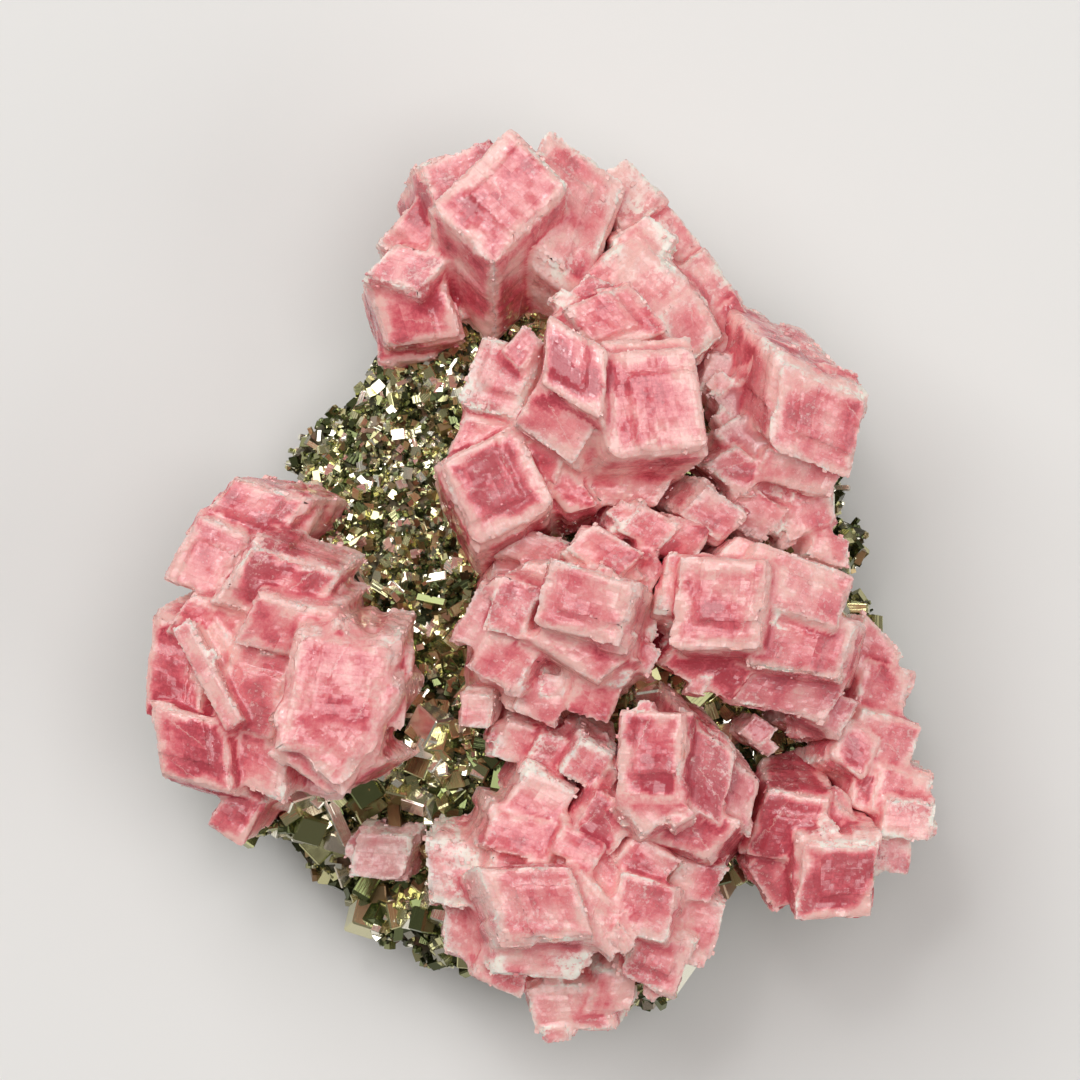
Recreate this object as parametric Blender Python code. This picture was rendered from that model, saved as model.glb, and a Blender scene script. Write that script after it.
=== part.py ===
# Rhodochrosite on pyrite, a cabinet specimen lying on its sawn back.
# Frame: +X to the right and +Y to the top of the specimen as it is shown, +Z out of its front.
# Origin: the middle of the bounding box, on the back plane. Lengths are metres.

import math
import random

import bmesh
import bpy
import numpy as np
from mathutils import Euler, Matrix, Vector, noise

mm = 0.001

# Driving dimensions
gap = 0.3 * mm                 # between a crystal group and whatever it touches
table_level = -7 * mm          # heights in the tables are counted from this far below the back
eye_height = 993 * mm          # the specimen is read from this high above its back
reading_plane = 23 * mm        # outlines are read on this level and drawn in above it
polar_lean = 0.349             # how far a depth edge leans out at the blunt corner of a rhomb
terrace_rise = 0.7 * mm        # growth step on the front of a large crystal
large_edge = 6.4 * mm          # crystals with both edges longer than this have such steps
rock_centre = (2.0 * mm, -4.0 * mm)
rock_sides = 52                # facets round the rock
rock_grain = 0.9 * mm          # unevenness of the rock
rock_seed = 7
flat_angle = math.radians(0.2)
pyrite_sizes = (2.0 * mm, 5.4 * mm)
pyrite_tries = 290
pyrite_sunk = 0.18             # share of a pyrite crystal that sits in the rock below its middle

# Each crystal is a rhomb. Its row holds three corners of the front face in order (x, y of each,
# in mm), the height of that face's middle, the face's slopes along x and y, the depth of the
# crystal and the corner towards which the depth edges lean (-1 for the one nearest the middle).
groups = {
    "twin_crystals": [
        (5.8, 25.0, 17.1, 25.8, 18.9, 14.2, 49, -0.12, 0.0, 15, 3),
        (7.6, 26.3, 16.8, 27.0, 17.6, 23.5, 46.5, -0.1, -0.3, 11, -1),
        (0.8, 29.6, 7.6, 25.6, 6.9, 17.6, 50.4, 0.12, -0.15, 14, -1),
        (-2.8, 17.4, 0.4, 22.8, 7.0, 18.0, 48.8, 0.12, 0.2, 14, 3),
        (-9.2, 19.5, -6.3, 27.2, 0.5, 25.2, 44, 0.15, -0.05, 13, -1),
        (-4.5, 25.0, -1.6, 28.3, 1.0, 26.0, 45, 0.0, -0.1, 9, -1),
        (-11.2, 13.0, -2.5, 17.5, 1.8, 8.2, 45, 0.15, 0.05, 14, 3),
        (-10.0, 14.5, -8.0, 18.3, -1.0, 17.0, 43, 0.1, -0.1, 10, -1),
        (0.0, 11.5, 3.5, 12.6, 6.8, 8.3, 43, 0.0, 0.1, 10, -1),
        (3.5, 8.2, 6.0, 12.4, 15.5, 12.0, 41, 0.0, 0.1, 11, -1),
        (-8.0, 8.0, -6.0, 24.0, 16.0, 24.0, 38, 0.0, 0.0, 8, -1),
    ],
    "heart_crystals": [
        (-0.8, -4.8, 1.2, 2.5, 11.0, -0.3, 50, 0.0, 0.1, 14, 3),
        (-1.5, -6.5, 2.5, -3.5, 10.5, -8.5, 46.5, 0.0, 0.12, 12, 3),
        (-10.2, -6.6, -6.9, -0.4, -2.2, -2.4, 44, 0.15, 0.0, 12, -1),
        (-6.6, -5.5, -4.2, 0.8, 0.4, -0.6, 46.5, 0.1, 0.0, 10, -1),
        (-8.2, -9.8, -5.5, -5.0, 0.0, -8.0, 44.5, 0.1, 0.1, 11, -1),
        (2.8, -14.6, 4.4, -10.4, 9.4, -12.0, 43, 0.0, 0.2, 10, -1),
        (9.6, -8.6, 11.2, -5.8, 13.8, -8.0, 43, -0.1, 0.0, 9, -1),
        (2.6, 3.4, 6.2, 6.6, 12.0, 3.0, 46, 0.0, 0.1, 11, -1),
        (8.6, 5.6, 11.5, 8.6, 16.0, 6.0, 43, 0.0, 0.1, 10, -1),
        (-4.8, 3.0, -1.5, 6.0, 4.0, 4.0, 41, 0.0, 0.1, 10, -1),
        (9.5, 0.5, 11.5, 4.0, 14.3, 1.5, 43, 0.0, 0.0, 9, -1),
        (10.3, -6.0, 11.0, -1.5, 13.8, -2.0, 42, 0.0, 0.0, 9, -1),
        (-3.0, -14.5, -1.0, -11.0, 4.0, -13.0, 42, 0.0, 0.1, 9, -1),
        (-7.0, -12.0, -5.0, 3.0, 12.0, 5.0, 38, 0.0, 0.0, 8, -1),
    ],
    "bulk_crystals": [
        (14.2, -7.6, 15.6, 2.6, 25.8, 2.4, 46, 0.0, 0.05, 14, 3),
        (22.0, -2.0, 24.0, 4.4, 35.0, 0.4, 44, -0.2, 0.05, 16, -1),
        (22.5, -9.5, 24.5, -3.0, 35.2, -4.5, 42.5, -0.15, 0.1, 17, 3),
        (21.0, -13.5, 24.0, -9.0, 34.5, -11.5, 38.5, -0.05, 0.15, 12, -1),
        (13.0, -9.5, 16.0, -6.0, 24.0, -10.0, 40, 0.0, 0.2, 11, -1),
        (28.5, -15.5, 31.0, -11.5, 35.5, -13.5, 37, -0.1, 0.1, 14, -1),
        (12.8, -3.5, 14.2, 3.2, 19.0, 2.6, 44, 0.05, 0.0, 12, -1),
        (18.5, 1.0, 22.0, 5.2, 27.0, 3.2, 43.5, 0.0, 0.0, 11, -1),
        (14.0, -9.0, 15.0, 1.0, 33.0, -1.0, 35, 0.0, 0.0, 8, -1),
    ],
    "crown_crystals": [
        (-11.9, 41.2, -3.2, 49.9, 3.6, 43.3, 42, 0.05, -0.25, 16, 3),
        (1.0, 50.0, 9.6, 43.6, 5.0, 31.5, 38, -0.3, -0.1, 17, 2),
        (-13.4, 45.8, -5.0, 48.9, -3.0, 44.0, 38, 0.05, -0.1, 12, -1),
        (-18.2, 37.4, -13.0, 42.6, -7.5, 38.5, 35, 0.2, -0.1, 14, -1),
        (-19.3, 33.5, -15.5, 37.4, -9.5, 35.5, 37, 0.1, -0.2, 15, -1),
        (-19.2, 33.0, -10.5, 34.5, -8.3, 26.8, 35, 0.2, 0.15, 17, 3),
        (-18.3, 28.0, -12.0, 28.5, -11.5, 24.3, 30, 0.1, 0.1, 13, -1),
        (-14.0, 30.0, -13.0, 40.5, 3.0, 42.0, 31, 0.0, 0.0, 8, -1),
    ],
    "left_rose": [
        (-29.0, -18.9, -26.5, -5.6, -15.4, -6.6, 46, -0.15, 0.0, 12, -1),
        (-29.5, -19.0, -24.0, -15.0, -17.5, -20.0, 44, 0.0, 0.1, 10, -1),
        (-19.5, -14.5, -18.5, -5.5, -13.9, -8.0, 43, -0.25, 0.0, 10, -1),
        (-36.0, -2.5, -31.5, 4.0, -21.5, 0.8, 42, -0.05, 0.15, 9, -1),
        (-41.6, -6.0, -38.5, -1.5, -31.0, -3.5, 40, 0.15, 0.1, 13, -1),
        (-40.6, -5.6, -38.6, -4.0, -32.6, -15.4, 43, 0.1, 0.1, 10, -1),
        (-43.4, -15.0, -42.6, -3.5, -36.5, -6.0, 38.5, 0.35, 0.0, 18, -1),
        (-41.6, -21.5, -42.5, -13.5, -34.6, -15.5, 41, 0.2, 0.1, 17, 3),
        (-36.7, -27.0, -34.0, -22.0, -30.2, -24.6, 36, 0.0, 0.1, 13, -1),
        (-36.0, -16.0, -33.5, -6.0, -26.5, -8.0, 41, 0.1, 0.1, 11, -1),
        (-34.0, -22.0, -33.0, -16.0, -27.5, -18.5, 40, 0.05, 0.1, 10, -1),
        (-37.6, 6.6, -33.5, 11.7, -25.2, 8.8, 36, 0.05, -0.1, 15, -1),
        (-32.0, 6.0, -28.5, 10.4, -23.8, 7.4, 34, 0.0, 0.0, 13, -1),
        (-41.6, 0.0, -37.6, 7.4, -31.5, 5.0, 37, 0.15, -0.1, 16, -1),
        (-34.0, -7.0, -31.0, -1.5, -22.5, -3.5, 43.5, 0.0, 0.2, 10, -1),
        (-22.3, -4.1, -14.1, -11.8, -21.9, -23.5, 45.8, -0.15, 0.0, 12, -1),
        (-38.0, -20.0, -37.0, 4.0, -20.0, -1.0, 34, 0.0, 0.0, 9, -1),
    ],
    "lower_crystals": [
        (8.2, -24.6, 9.0, -14.2, 16.4, -14.2, 46, 0.05, 0.05, 13, 3),
        (8.8, -24.5, 14.5, -21.5, 17.2, -25.2, 45.5, 0.0, 0.1, 12, 3),
        (15.0, -24.0, 16.8, -15.5, 22.0, -19.0, 43, -0.2, 0.0, 13, -1),
        (18.5, -25.0, 19.8, -18.6, 24.6, -21.8, 40, -0.2, 0.05, 12, -1),
        (12.0, -28.5, 16.0, -24.0, 22.5, -26.5, 42, 0.0, 0.15, 12, 3),
        (2.0, -21.5, 4.5, -17.4, 8.6, -19.5, 41, 0.05, 0.1, 10, -1),
        (-2.0, -20.5, 0.5, -16.6, 5.0, -18.4, 39, 0.05, 0.1, 9, -1),
        (-5.5, -19.5, -3.5, -15.2, 0.5, -16.4, 38, 0.1, 0.1, 9, -1),
        (3.2, -27.5, 6.5, -22.8, 11.2, -26.0, 42, 0.0, 0.1, 11, -1),
        (0.0, -26.0, 2.0, -17.5, 21.0, -19.5, 35, 0.0, 0.0, 8, -1),
    ],
    "foot_crystals": [
        (-6.8, -31.6, 3.6, -31.4, 6.6, -39.6, 44, 0.0, 0.1, 13, 3),
        (2.4, -36.8, 4.4, -31.6, 10.2, -36.8, 42, -0.1, 0.1, 12, -1),
        (-12.4, -36.0, -12.9, -28.0, -6.6, -28.8, 37, 0.1, 0.0, 16, -1),
        (-10.8, -40.5, -10.6, -34.0, -5.0, -36.5, 34, 0.15, 0.1, 17, 3),
        (-6.4, -29.5, -4.4, -25.0, 3.0, -27.0, 41, 0.0, -0.1, 10, -1),
        (-4.0, -25.0, -1.0, -20.6, 4.5, -23.5, 40.5, 0.0, 0.0, 10, -1),
        (1.0, -30.0, 3.0, -26.5, 8.0, -29.0, 42, 0.0, 0.0, 10, -1),
        (-5.0, -43.5, -3.6, -38.8, 6.0, -39.5, 40, 0.0, 0.25, 12, -1),
        (-7.4, -44.0, -6.0, -40.0, -0.5, -42.6, 36, 0.05, 0.2, 15, -1),
        (-0.4, -50.0, -1.5, -45.0, 7.0, -44.6, 34, 0.0, 0.15, 16, -1),
        (5.0, -48.0, 6.5, -43.0, 11.5, -42.6, 34.5, -0.1, 0.15, 15, -1),
        (9.0, -43.5, 11.5, -37.0, 17.5, -39.8, 38, -0.1, 0.1, 17, -1),
        (13.5, -40.5, 15.5, -34.0, 21.0, -35.6, 36.5, -0.15, 0.1, 16, -1),
        (13.5, -35.0, 16.0, -30.5, 21.4, -31.5, 38, -0.15, 0.1, 15, -1),
        (7.5, -38.0, 9.0, -31.8, 15.5, -34.0, 41.5, -0.05, 0.1, 12, 3),
        (8.0, -31.0, 11.0, -27.5, 16.0, -31.0, 41, -0.05, 0.1, 10, -1),
        (-9.0, -42.0, -8.0, -28.0, 17.0, -31.0, 32, 0.0, 0.0, 8, -1),
    ],
    "shoulder_crystals": [
        (25.2, 14.5, 26.8, 24.2, 36.2, 20.2, 42, -0.2, 0.1, 18, 1),
        (25.3, 14.6, 34.0, 12.6, 32.3, 9.0, 38.5, -0.1, 0.2, 15, -1),
        (22.6, 22.0, 24.6, 27.3, 29.0, 25.8, 38, 0.0, 0.0, 11, -1),
        (31.0, 24.6, 35.2, 23.0, 36.9, 18.5, 38, -0.3, 0.0, 16, -1),
        (17.5, 20.5, 19.5, 25.5, 24.5, 23.5, 34, -0.1, 0.0, 9, -1),
        (18.5, 20.5, 22.0, 23.0, 25.5, 19.0, 36, -0.1, 0.0, 10, -1),
        (19.0, 16.5, 22.5, 18.5, 25.5, 14.8, 38, -0.1, 0.0, 10, -1),
        (18.0, 12.6, 22.0, 15.0, 26.3, 11.6, 39, -0.1, 0.1, 10, -1),
        (15.4, 7.5, 18.6, 10.8, 23.6, 7.2, 42, -0.1, 0.1, 11, -1),
        (26.4, 8.4, 32.0, 10.6, 33.0, 6.4, 35, -0.2, 0.0, 15, -1),
        (29.6, 2.6, 30.2, 6.0, 34.6, 4.5, 34, -0.2, 0.0, 15, -1),
        (19.5, 7.0, 23.0, 10.8, 28.0, 7.5, 37, -0.1, 0.1, 11, -1),
        (18.0, 7.0, 20.0, 24.0, 34.0, 20.0, 31, 0.0, 0.0, 8, -1),
    ],
    "low_right_crystals": [
        (28.2, -37.6, 29.0, -28.8, 37.6, -28.6, 39, 0.0, 0.1, 18, 1),
        (22.4, -30.4, 25.0, -23.0, 32.4, -24.2, 36.5, 0.1, 0.1, 16, -1),
        (22.6, -31.5, 26.0, -29.0, 29.4, -34.5, 35, 0.2, 0.1, 15, -1),
        (29.5, -28.5, 31.0, -23.2, 36.4, -27.0, 36, -0.1, 0.0, 15, -1),
        (25.0, -35.5, 25.5, -26.0, 34.5, -27.0, 29, 0.0, 0.0, 8, -1),
    ],
    "ridge_crystals": [
        (5.0, 43.0, 9.5, 46.6, 14.3, 41.8, 34, -0.3, 0.1, 15, -1),
        (10.5, 38.5, 14.5, 41.4, 18.1, 37.0, 31, -0.35, 0.0, 14, -1),
        (13.5, 33.5, 18.3, 36.7, 22.2, 31.0, 32, -0.4, -0.1, 16, 2),
        (17.5, 28.5, 22.0, 31.7, 25.0, 27.0, 31, -0.3, 0.0, 14, -1),
        (3.5, 33.0, 11.0, 38.5, 17.0, 32.5, 37, -0.25, -0.05, 11, 2),
        (8.5, 38.0, 12.0, 40.4, 15.2, 38.0, 36, -0.2, 0.0, 7, -1),
        (2.0, 30.0, 10.0, 33.0, 14.5, 27.5, 43, -0.05, -0.15, 12, 3),
        (1.5, 29.8, 5.5, 34.0, 9.0, 32.5, 41, -0.05, -0.2, 9, -1),
        (18.5, 25.0, 22.0, 28.0, 24.5, 24.5, 32, -0.2, 0.0, 13, -1),
        (12.5, 29.0, 17.0, 32.5, 20.5, 27.0, 36, -0.3, 0.0, 10, 2),
        (4.0, 28.0, 6.0, 41.0, 17.5, 36.0, 29, -0.1, 0.0, 8, -1),
    ],
    "edge_column_crystals": [
        (33.5, -9.0, 36.0, -3.8, 40.3, -8.0, 33, -0.2, 0.0, 15, -1),
        (34.5, -14.5, 36.0, -8.5, 41.6, -10.4, 33, -0.25, 0.0, 17, -1),
        (34.0, -20.0, 35.5, -14.0, 42.4, -16.0, 34, -0.25, 0.0, 16, -1),
        (36.5, -25.5, 37.5, -20.0, 43.6, -21.8, 34, -0.2, 0.0, 18, -1),
        (37.6, -28.6, 38.4, -24.0, 44.1, -24.4, 35, -0.1, 0.0, 15, -1),
        (36.5, -32.4, 37.0, -27.6, 41.4, -27.9, 32, -0.1, 0.0, 14, -1),
        (32.0, -19.5, 34.0, -14.8, 38.0, -17.5, 35, -0.1, 0.0, 10, -1),
        (34.0, -25.0, 35.0, -20.5, 38.4, -21.8, 34, -0.1, 0.0, 9, -1),
        (34.0, -27.0, 34.5, -8.0, 39.0, -9.0, 28, 0.0, 0.0, 8, -1),
    ],
    "pale_crystal": [(-21.3, -32.8, -19.8, -27.6, -13.6, -28.0, 30, 0.05, 0.05, 10, -1)],
    "chip_crystal": [(-9.0, -16.2, -8.6, -12.3, -5.0, -12.6, 40, 0.0, 0.1, 9, -1)],
    "lozenge_crystal": [(21.9, -16.6, 24.0, -14.4, 26.6, -16.3, 34, 0.0, 0.0, 9, -1)],
}

# Widest outline of the rock, in mm, and the height of its front below the crystals
rock_outline = (
    (-14, 30), (-18.3, 23.5), (-22.5, 18), (-25, 12), (-27, 9), (-33, 5), (-37, -2), (-38.5, -10),
    (-37, -18), (-34, -24), (-32, -28), (-28, -29), (-24, -30.5), (-22, -34), (-19, -38),
    (-15, -40.3), (-11, -41.5), (-6, -42), (0, -45), (8, -45), (12.5, -48.3), (16, -43), (18, -38),
    (20, -34), (24, -33), (30, -34), (35, -33), (38, -27), (39, -20), (38.5, -12), (36, -5),
    (33, 1), (32, 8), (32, 16), (28, 22), (22, 26), (18, 31), (13, 37), (6, 42), (-2, 44),
    (-8, 40), (-12, 36),
)
rock_front = (
    (4, 18, 36), (4, -4, 36), (-4, 36, 28), (12, 32, 27), (28, 16, 28), (24, -4, 33), (12, -22, 33),
    (4, -36, 29), (-28, -8, 32), (36, -18, 25), (31, -31, 26), (-17, -30, 25), (-8, -14, 33),
    (24, -17, 29), (-20, 16, 24), (-14, 6, 30), (-12, -8, 31), (-20, -36, 21), (-30, 6, 27),
)
# Rings of the rock from its sawn back to its front: share of the outline and height in mm,
# or share of the front's height where it is below 2
rock_rings = (
    (0.66, 0.0), (0.82, 2.5), (0.94, 6.0), (1.00, 10.5), (0.98, 0.72), (0.90, 0.92), (0.78, 1.0),
    (0.64, 1.0), (0.50, 1.0), (0.36, 1.0), (0.22, 1.0), (0.09, 1.0),
)

looks = {
    "pyrite_matrix": ((0.42, 0.38, 0.22), 0.35, 0.9),
    "left_rose": ((0.84, 0.36, 0.40), 0.3, 0.0),
    "crown_crystals": ((0.86, 0.42, 0.46), 0.3, 0.0),
    "ridge_crystals": ((0.88, 0.56, 0.57), 0.45, 0.0),
    "twin_crystals": ((0.87, 0.40, 0.44), 0.28, 0.0),
    "shoulder_crystals": ((0.84, 0.50, 0.53), 0.35, 0.0),
    "heart_crystals": ((0.88, 0.46, 0.50), 0.3, 0.0),
    "bulk_crystals": ((0.86, 0.45, 0.49), 0.38, 0.0),
    "lower_crystals": ((0.84, 0.42, 0.46), 0.35, 0.0),
    "foot_crystals": ((0.86, 0.48, 0.51), 0.38, 0.0),
    "low_right_crystals": ((0.84, 0.42, 0.46), 0.38, 0.0),
    "edge_column_crystals": ((0.88, 0.52, 0.54), 0.4, 0.0),
    "pale_crystal": ((0.76, 0.52, 0.56), 0.4, 0.0),
    "chip_crystal": ((0.84, 0.60, 0.62), 0.4, 0.0),
    "lozenge_crystal": ((0.80, 0.50, 0.53), 0.4, 0.0),
}


def clear_scene():
    for obj in list(bpy.data.objects):
        bpy.data.objects.remove(obj, do_unlink=True)


def seen(x, y, z):
    """A point read at (x, y) on the reading plane, moved along its line of sight to the height z."""
    share = (eye_height - z) / (eye_height - reading_plane)
    return np.array((x * share, y * share, z))


def rhomb(row):
    """Middle and three edge vectors of a crystal."""
    a, b, c = (np.array(row[k:k + 2]) * mm for k in (0, 2, 4))
    height, slope_x, slope_y, depth, polar = row[6] * mm, row[7], row[8], row[9] * mm, row[10]
    corners = []
    for point in (a, b, c):
        rise = slope_x * (point[0] - (a + c)[0] / 2) + slope_y * (point[1] - (a + c)[1] / 2)
        corners.append(seen(point[0], point[1], height + rise + table_level))
    u = corners[1] - corners[0]
    v = corners[2] - corners[1]
    normal = np.cross(v, u)
    normal *= math.copysign(1, normal[2]) / np.linalg.norm(normal)
    outs = [out / np.linalg.norm(out) for out in (-(u + v), u - v, u + v, v - u)]
    middle = (corners[0] + corners[2]) / 2
    if polar < 0:
        inward = np.array((*rock_centre, middle[2])) - middle
        polar = max(range(4), key=lambda k: float(np.dot(outs[k], inward)))
    back = polar_lean * outs[polar] - math.sqrt(1 - polar_lean ** 2) * normal
    middle = middle + back * depth / 2
    return middle, u, v, back * depth


def grown(box, by):
    """The same rhomb with every face moved out by this much."""
    middle, u, v, w = box
    volume = abs(np.dot(u, np.cross(v, w)))
    edges = []
    for edge, side in ((u, np.cross(v, w)), (v, np.cross(w, u)), (w, np.cross(u, v))):
        edges.append(edge * (1 + 2 * by * np.linalg.norm(side) / volume))
    return (middle, *edges)


def steps_of(box, number):
    """Growth steps of a large crystal: a raised terrace on its front and a block at one side."""
    middle, u, v, w = box
    if min(np.linalg.norm(u), np.linalg.norm(v)) < large_edge:
        return []
    back = w / np.linalg.norm(w)
    side_u, side_v = ((1, 1), (-1, 1), (-1, -1), (1, -1))[number % 4]
    shift = u * 0.13 * side_u + v * 0.1 * side_v - back * terrace_rise
    terrace = (middle + shift, u * 0.68, v * 0.74, w)
    shift = u * 0.2 * side_v - v * 0.24 * side_u + back * terrace_rise * 2.2
    ledge = (middle + shift, u * 0.68, v * 0.6, w)
    return [terrace, ledge]


def mesh_object(name, mesh):
    obj = bpy.data.objects.new(name, mesh)
    bpy.context.scene.collection.objects.link(obj)
    return obj


def rhomb_object(name, box):
    middle, u, v, w = box
    bm = bmesh.new()
    bmesh.ops.create_cube(bm, size=1.0)
    to_world = Matrix((
        (u[0], v[0], w[0], middle[0]),
        (u[1], v[1], w[1], middle[1]),
        (u[2], v[2], w[2], middle[2]),
        (0, 0, 0, 1),
    ))
    bm.transform(to_world)
    if to_world.to_3x3().determinant() < 0:
        bmesh.ops.reverse_faces(bm, faces=bm.faces)
    bmesh.ops.triangulate(bm, faces=bm.faces)
    mesh = bpy.data.meshes.new(name)
    bm.to_mesh(mesh)
    bm.free()
    return mesh_object(name, mesh)


def combine(obj, operation, others):
    """Joins these helpers to the object, or cuts them from it, then removes them."""
    if not others:
        return
    helpers = bpy.data.collections.new("helpers")
    bpy.context.scene.collection.children.link(helpers)
    for other in others:
        bpy.context.scene.collection.objects.unlink(other)
        helpers.objects.link(other)
    modifier = obj.modifiers.new(operation.lower(), "BOOLEAN")
    modifier.operation = operation
    modifier.solver = "EXACT"
    modifier.operand_type = "COLLECTION"
    modifier.collection = helpers
    apply_modifiers(obj)
    for other in others:
        bpy.data.objects.remove(other, do_unlink=True)
    bpy.data.collections.remove(helpers)


def apply_modifiers(obj):
    bpy.context.view_layer.update()
    graph = bpy.context.evaluated_depsgraph_get()
    mesh = bpy.data.meshes.new_from_object(obj.evaluated_get(graph))
    old = obj.data
    obj.modifiers.clear()
    obj.data = mesh
    bpy.data.meshes.remove(old)


def islands(bm):
    """Sets of vertices that hang together."""
    left = set(bm.verts)
    found = []
    while left:
        todo = [left.pop()]
        piece = set(todo)
        while todo:
            for edge in todo.pop().link_edges:
                for vert in edge.verts:
                    if vert in left:
                        left.remove(vert)
                        piece.add(vert)
                        todo.append(vert)
        found.append(piece)
    return found


def closed(bm):
    return all(len(edge.link_faces) == 2 for edge in bm.edges)


def tidy(obj):
    """Closes hairline seams, merges flat faces and keeps the one main body."""
    for merge, flatten in ((0.03, True), (0.01, True), (0.03, False), (0.01, False), (0.0, False)):
        bm = bmesh.new()
        bm.from_mesh(obj.data)
        if merge:
            bmesh.ops.remove_doubles(bm, verts=bm.verts, dist=merge * mm)
            bmesh.ops.dissolve_degenerate(bm, edges=bm.edges, dist=merge * 0.5 * mm)
        if flatten:
            bmesh.ops.dissolve_limit(bm, angle_limit=flat_angle, verts=bm.verts, edges=bm.edges)
        bmesh.ops.triangulate(bm, faces=bm.faces)
        if closed(bm):
            break
        print(obj.name, "isn't closed when merged at", merge, flatten)
    pieces = sorted(islands(bm), key=len)
    loose = [vert for piece in pieces[:-1] for vert in piece]
    if loose:
        for piece in pieces[:-1]:
            middle = sum((vert.co for vert in piece), Vector()) / len(piece)
            print("loose bit left out of", obj.name, [round(c / mm, 1) for c in middle], len(piece))
        bmesh.ops.delete(bm, geom=loose, context="VERTS")
    bmesh.ops.recalc_face_normals(bm, faces=bm.faces)
    bm.to_mesh(obj.data)
    bm.free()


def outline_radius(angle):
    """Distance from the rock's middle to its outline at this angle."""
    points = []
    for x, y in rock_outline:
        dx, dy = x * mm - rock_centre[0], y * mm - rock_centre[1]
        points.append((math.atan2(dy, dx) % math.tau, math.hypot(dx, dy)))
    points.sort()
    angles = [point[0] for point in points]
    radii = [point[1] for point in points]
    return float(np.interp(angle % math.tau, angles, radii, period=math.tau))


def front_height(x, y):
    """Height of the rock's front, blended from the heights under the crystal groups."""
    total = weight = 0.0
    for px, py, pz in rock_front:
        pz += table_level / mm
        share = 1 / (((x / mm - px) ** 2 + (y / mm - py) ** 2) + 9) ** 1.5
        total += share * pz * mm
        weight += share
    return total / weight


def rock_object(name, thicker):
    bm = bmesh.new()
    rings = []
    for level, (share, rise) in enumerate(rock_rings):
        ring = []
        for k in range(rock_sides):
            angle = math.tau * (k + 0.5 * (level % 2)) / rock_sides
            reach = outline_radius(angle) * share
            x = rock_centre[0] + reach * math.cos(angle)
            y = rock_centre[1] + reach * math.sin(angle)
            z = rise * mm if rise >= 2 or rise == 0 else front_height(x, y) * rise
            place = Vector((x, y, z))
            if rise > 0:
                place += noise.noise_vector(place / (9 * mm)) * rock_grain * 2.2
                place += noise.noise_vector(place / (2.5 * mm)) * rock_grain
            ring.append(bm.verts.new(place))
        rings.append(ring)
    for low, high in zip(rings, rings[1:]):
        odd = rings.index(low) % 2
        for k in range(rock_sides):
            n = (k + 1) % rock_sides
            if odd:
                bm.faces.new((low[k], high[n], high[k]))
                bm.faces.new((low[k], low[n], high[n]))
            else:
                bm.faces.new((low[k], low[n], high[k]))
                bm.faces.new((low[n], high[n], high[k]))
    top = bm.verts.new((*rock_centre, front_height(*rock_centre)))
    for k in range(rock_sides):
        bm.faces.new((rings[-1][k], rings[-1][(k + 1) % rock_sides], top))
    bm.faces.new(rings[0])
    bmesh.ops.recalc_face_normals(bm, faces=bm.faces)
    bm.normal_update()
    if thicker:
        moves = [vert.normal * thicker for vert in bm.verts]
        for vert, move in zip(bm.verts, moves):
            vert.co += move
    bmesh.ops.triangulate(bm, faces=bm.faces)
    mesh = bpy.data.meshes.new(name)
    bm.to_mesh(mesh)
    bm.free()
    return mesh_object(name, mesh)


def outside_distance(point, box):
    """How far a point is outside a rhomb's faces, less than zero inside it."""
    middle, u, v, w = box
    far = -1.0
    for edge, side in ((u, np.cross(v, w)), (v, np.cross(w, u)), (w, np.cross(u, v))):
        side = side / np.linalg.norm(side)
        far = max(far, abs(np.dot(point - middle, side)) - abs(np.dot(edge, side)) / 2)
    return far


def pyrite_cubes(rock, boxes):
    """Pyrite crystals on the open faces of the rock, clear of the pink crystals."""
    rand = random.Random(11)
    mesh = rock.data
    faces = [face for face in mesh.polygons if face.center.z > 2.2 * mm]
    areas = [face.area for face in faces]
    cubes = []
    placed = []
    for _ in range(pyrite_tries):
        face = rand.choices(faces, areas)[0]
        corners = [mesh.vertices[k].co for k in face.vertices]
        s, t = sorted((rand.random(), rand.random()))
        place = corners[0] * s + corners[1] * (t - s) + corners[2] * (1 - t)
        size = pyrite_sizes[0] + (pyrite_sizes[1] - pyrite_sizes[0]) * rand.random() ** 2
        turn = Euler([rand.uniform(0, math.tau) for _ in range(3)]).to_matrix().to_4x4()
        place = place + face.normal * size * (0.5 - pyrite_sunk - 0.3)
        reach = size * 0.87
        if place.z < reach + 0.3 * mm:
            continue
        if any((place - other).length < (size + far) * 0.42 for other, far in placed):
            continue
        if min(outside_distance(np.array(place), box) for box in boxes) < reach + gap:
            continue
        placed.append((place, size))
        bm = bmesh.new()
        bmesh.ops.create_cube(bm, size=size)
        bmesh.ops.triangulate(bm, faces=bm.faces)
        bm.transform(Matrix.Translation(place) @ turn)
        cube = bpy.data.meshes.new("pyrite")
        bm.to_mesh(cube)
        bm.free()
        cubes.append(mesh_object("pyrite", cube))
    print("pyrite crystals", len(cubes))
    return cubes


def touching(box, other):
    """Whether the bounding boxes of two rhombs meet."""
    spans = []
    for middle, u, v, w in (box, other):
        half = (np.abs(u) + np.abs(v) + np.abs(w)) / 2
        spans.append((middle - half, middle + half))
    return bool(np.all(spans[0][0] < spans[1][1]) and np.all(spans[1][0] < spans[0][1]))


def finish(obj):
    colour, roughness, metallic = looks[obj.name]
    material = bpy.data.materials.new(obj.name)
    material.use_nodes = True
    shader = material.node_tree.nodes["Principled BSDF"]
    shader.inputs["Base Color"].default_value = (*colour, 1)
    shader.inputs["Roughness"].default_value = roughness
    shader.inputs["Metallic"].default_value = metallic
    material.diffuse_color = (*colour, 1)
    obj.data.materials.clear()
    obj.data.materials.append(material)


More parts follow.
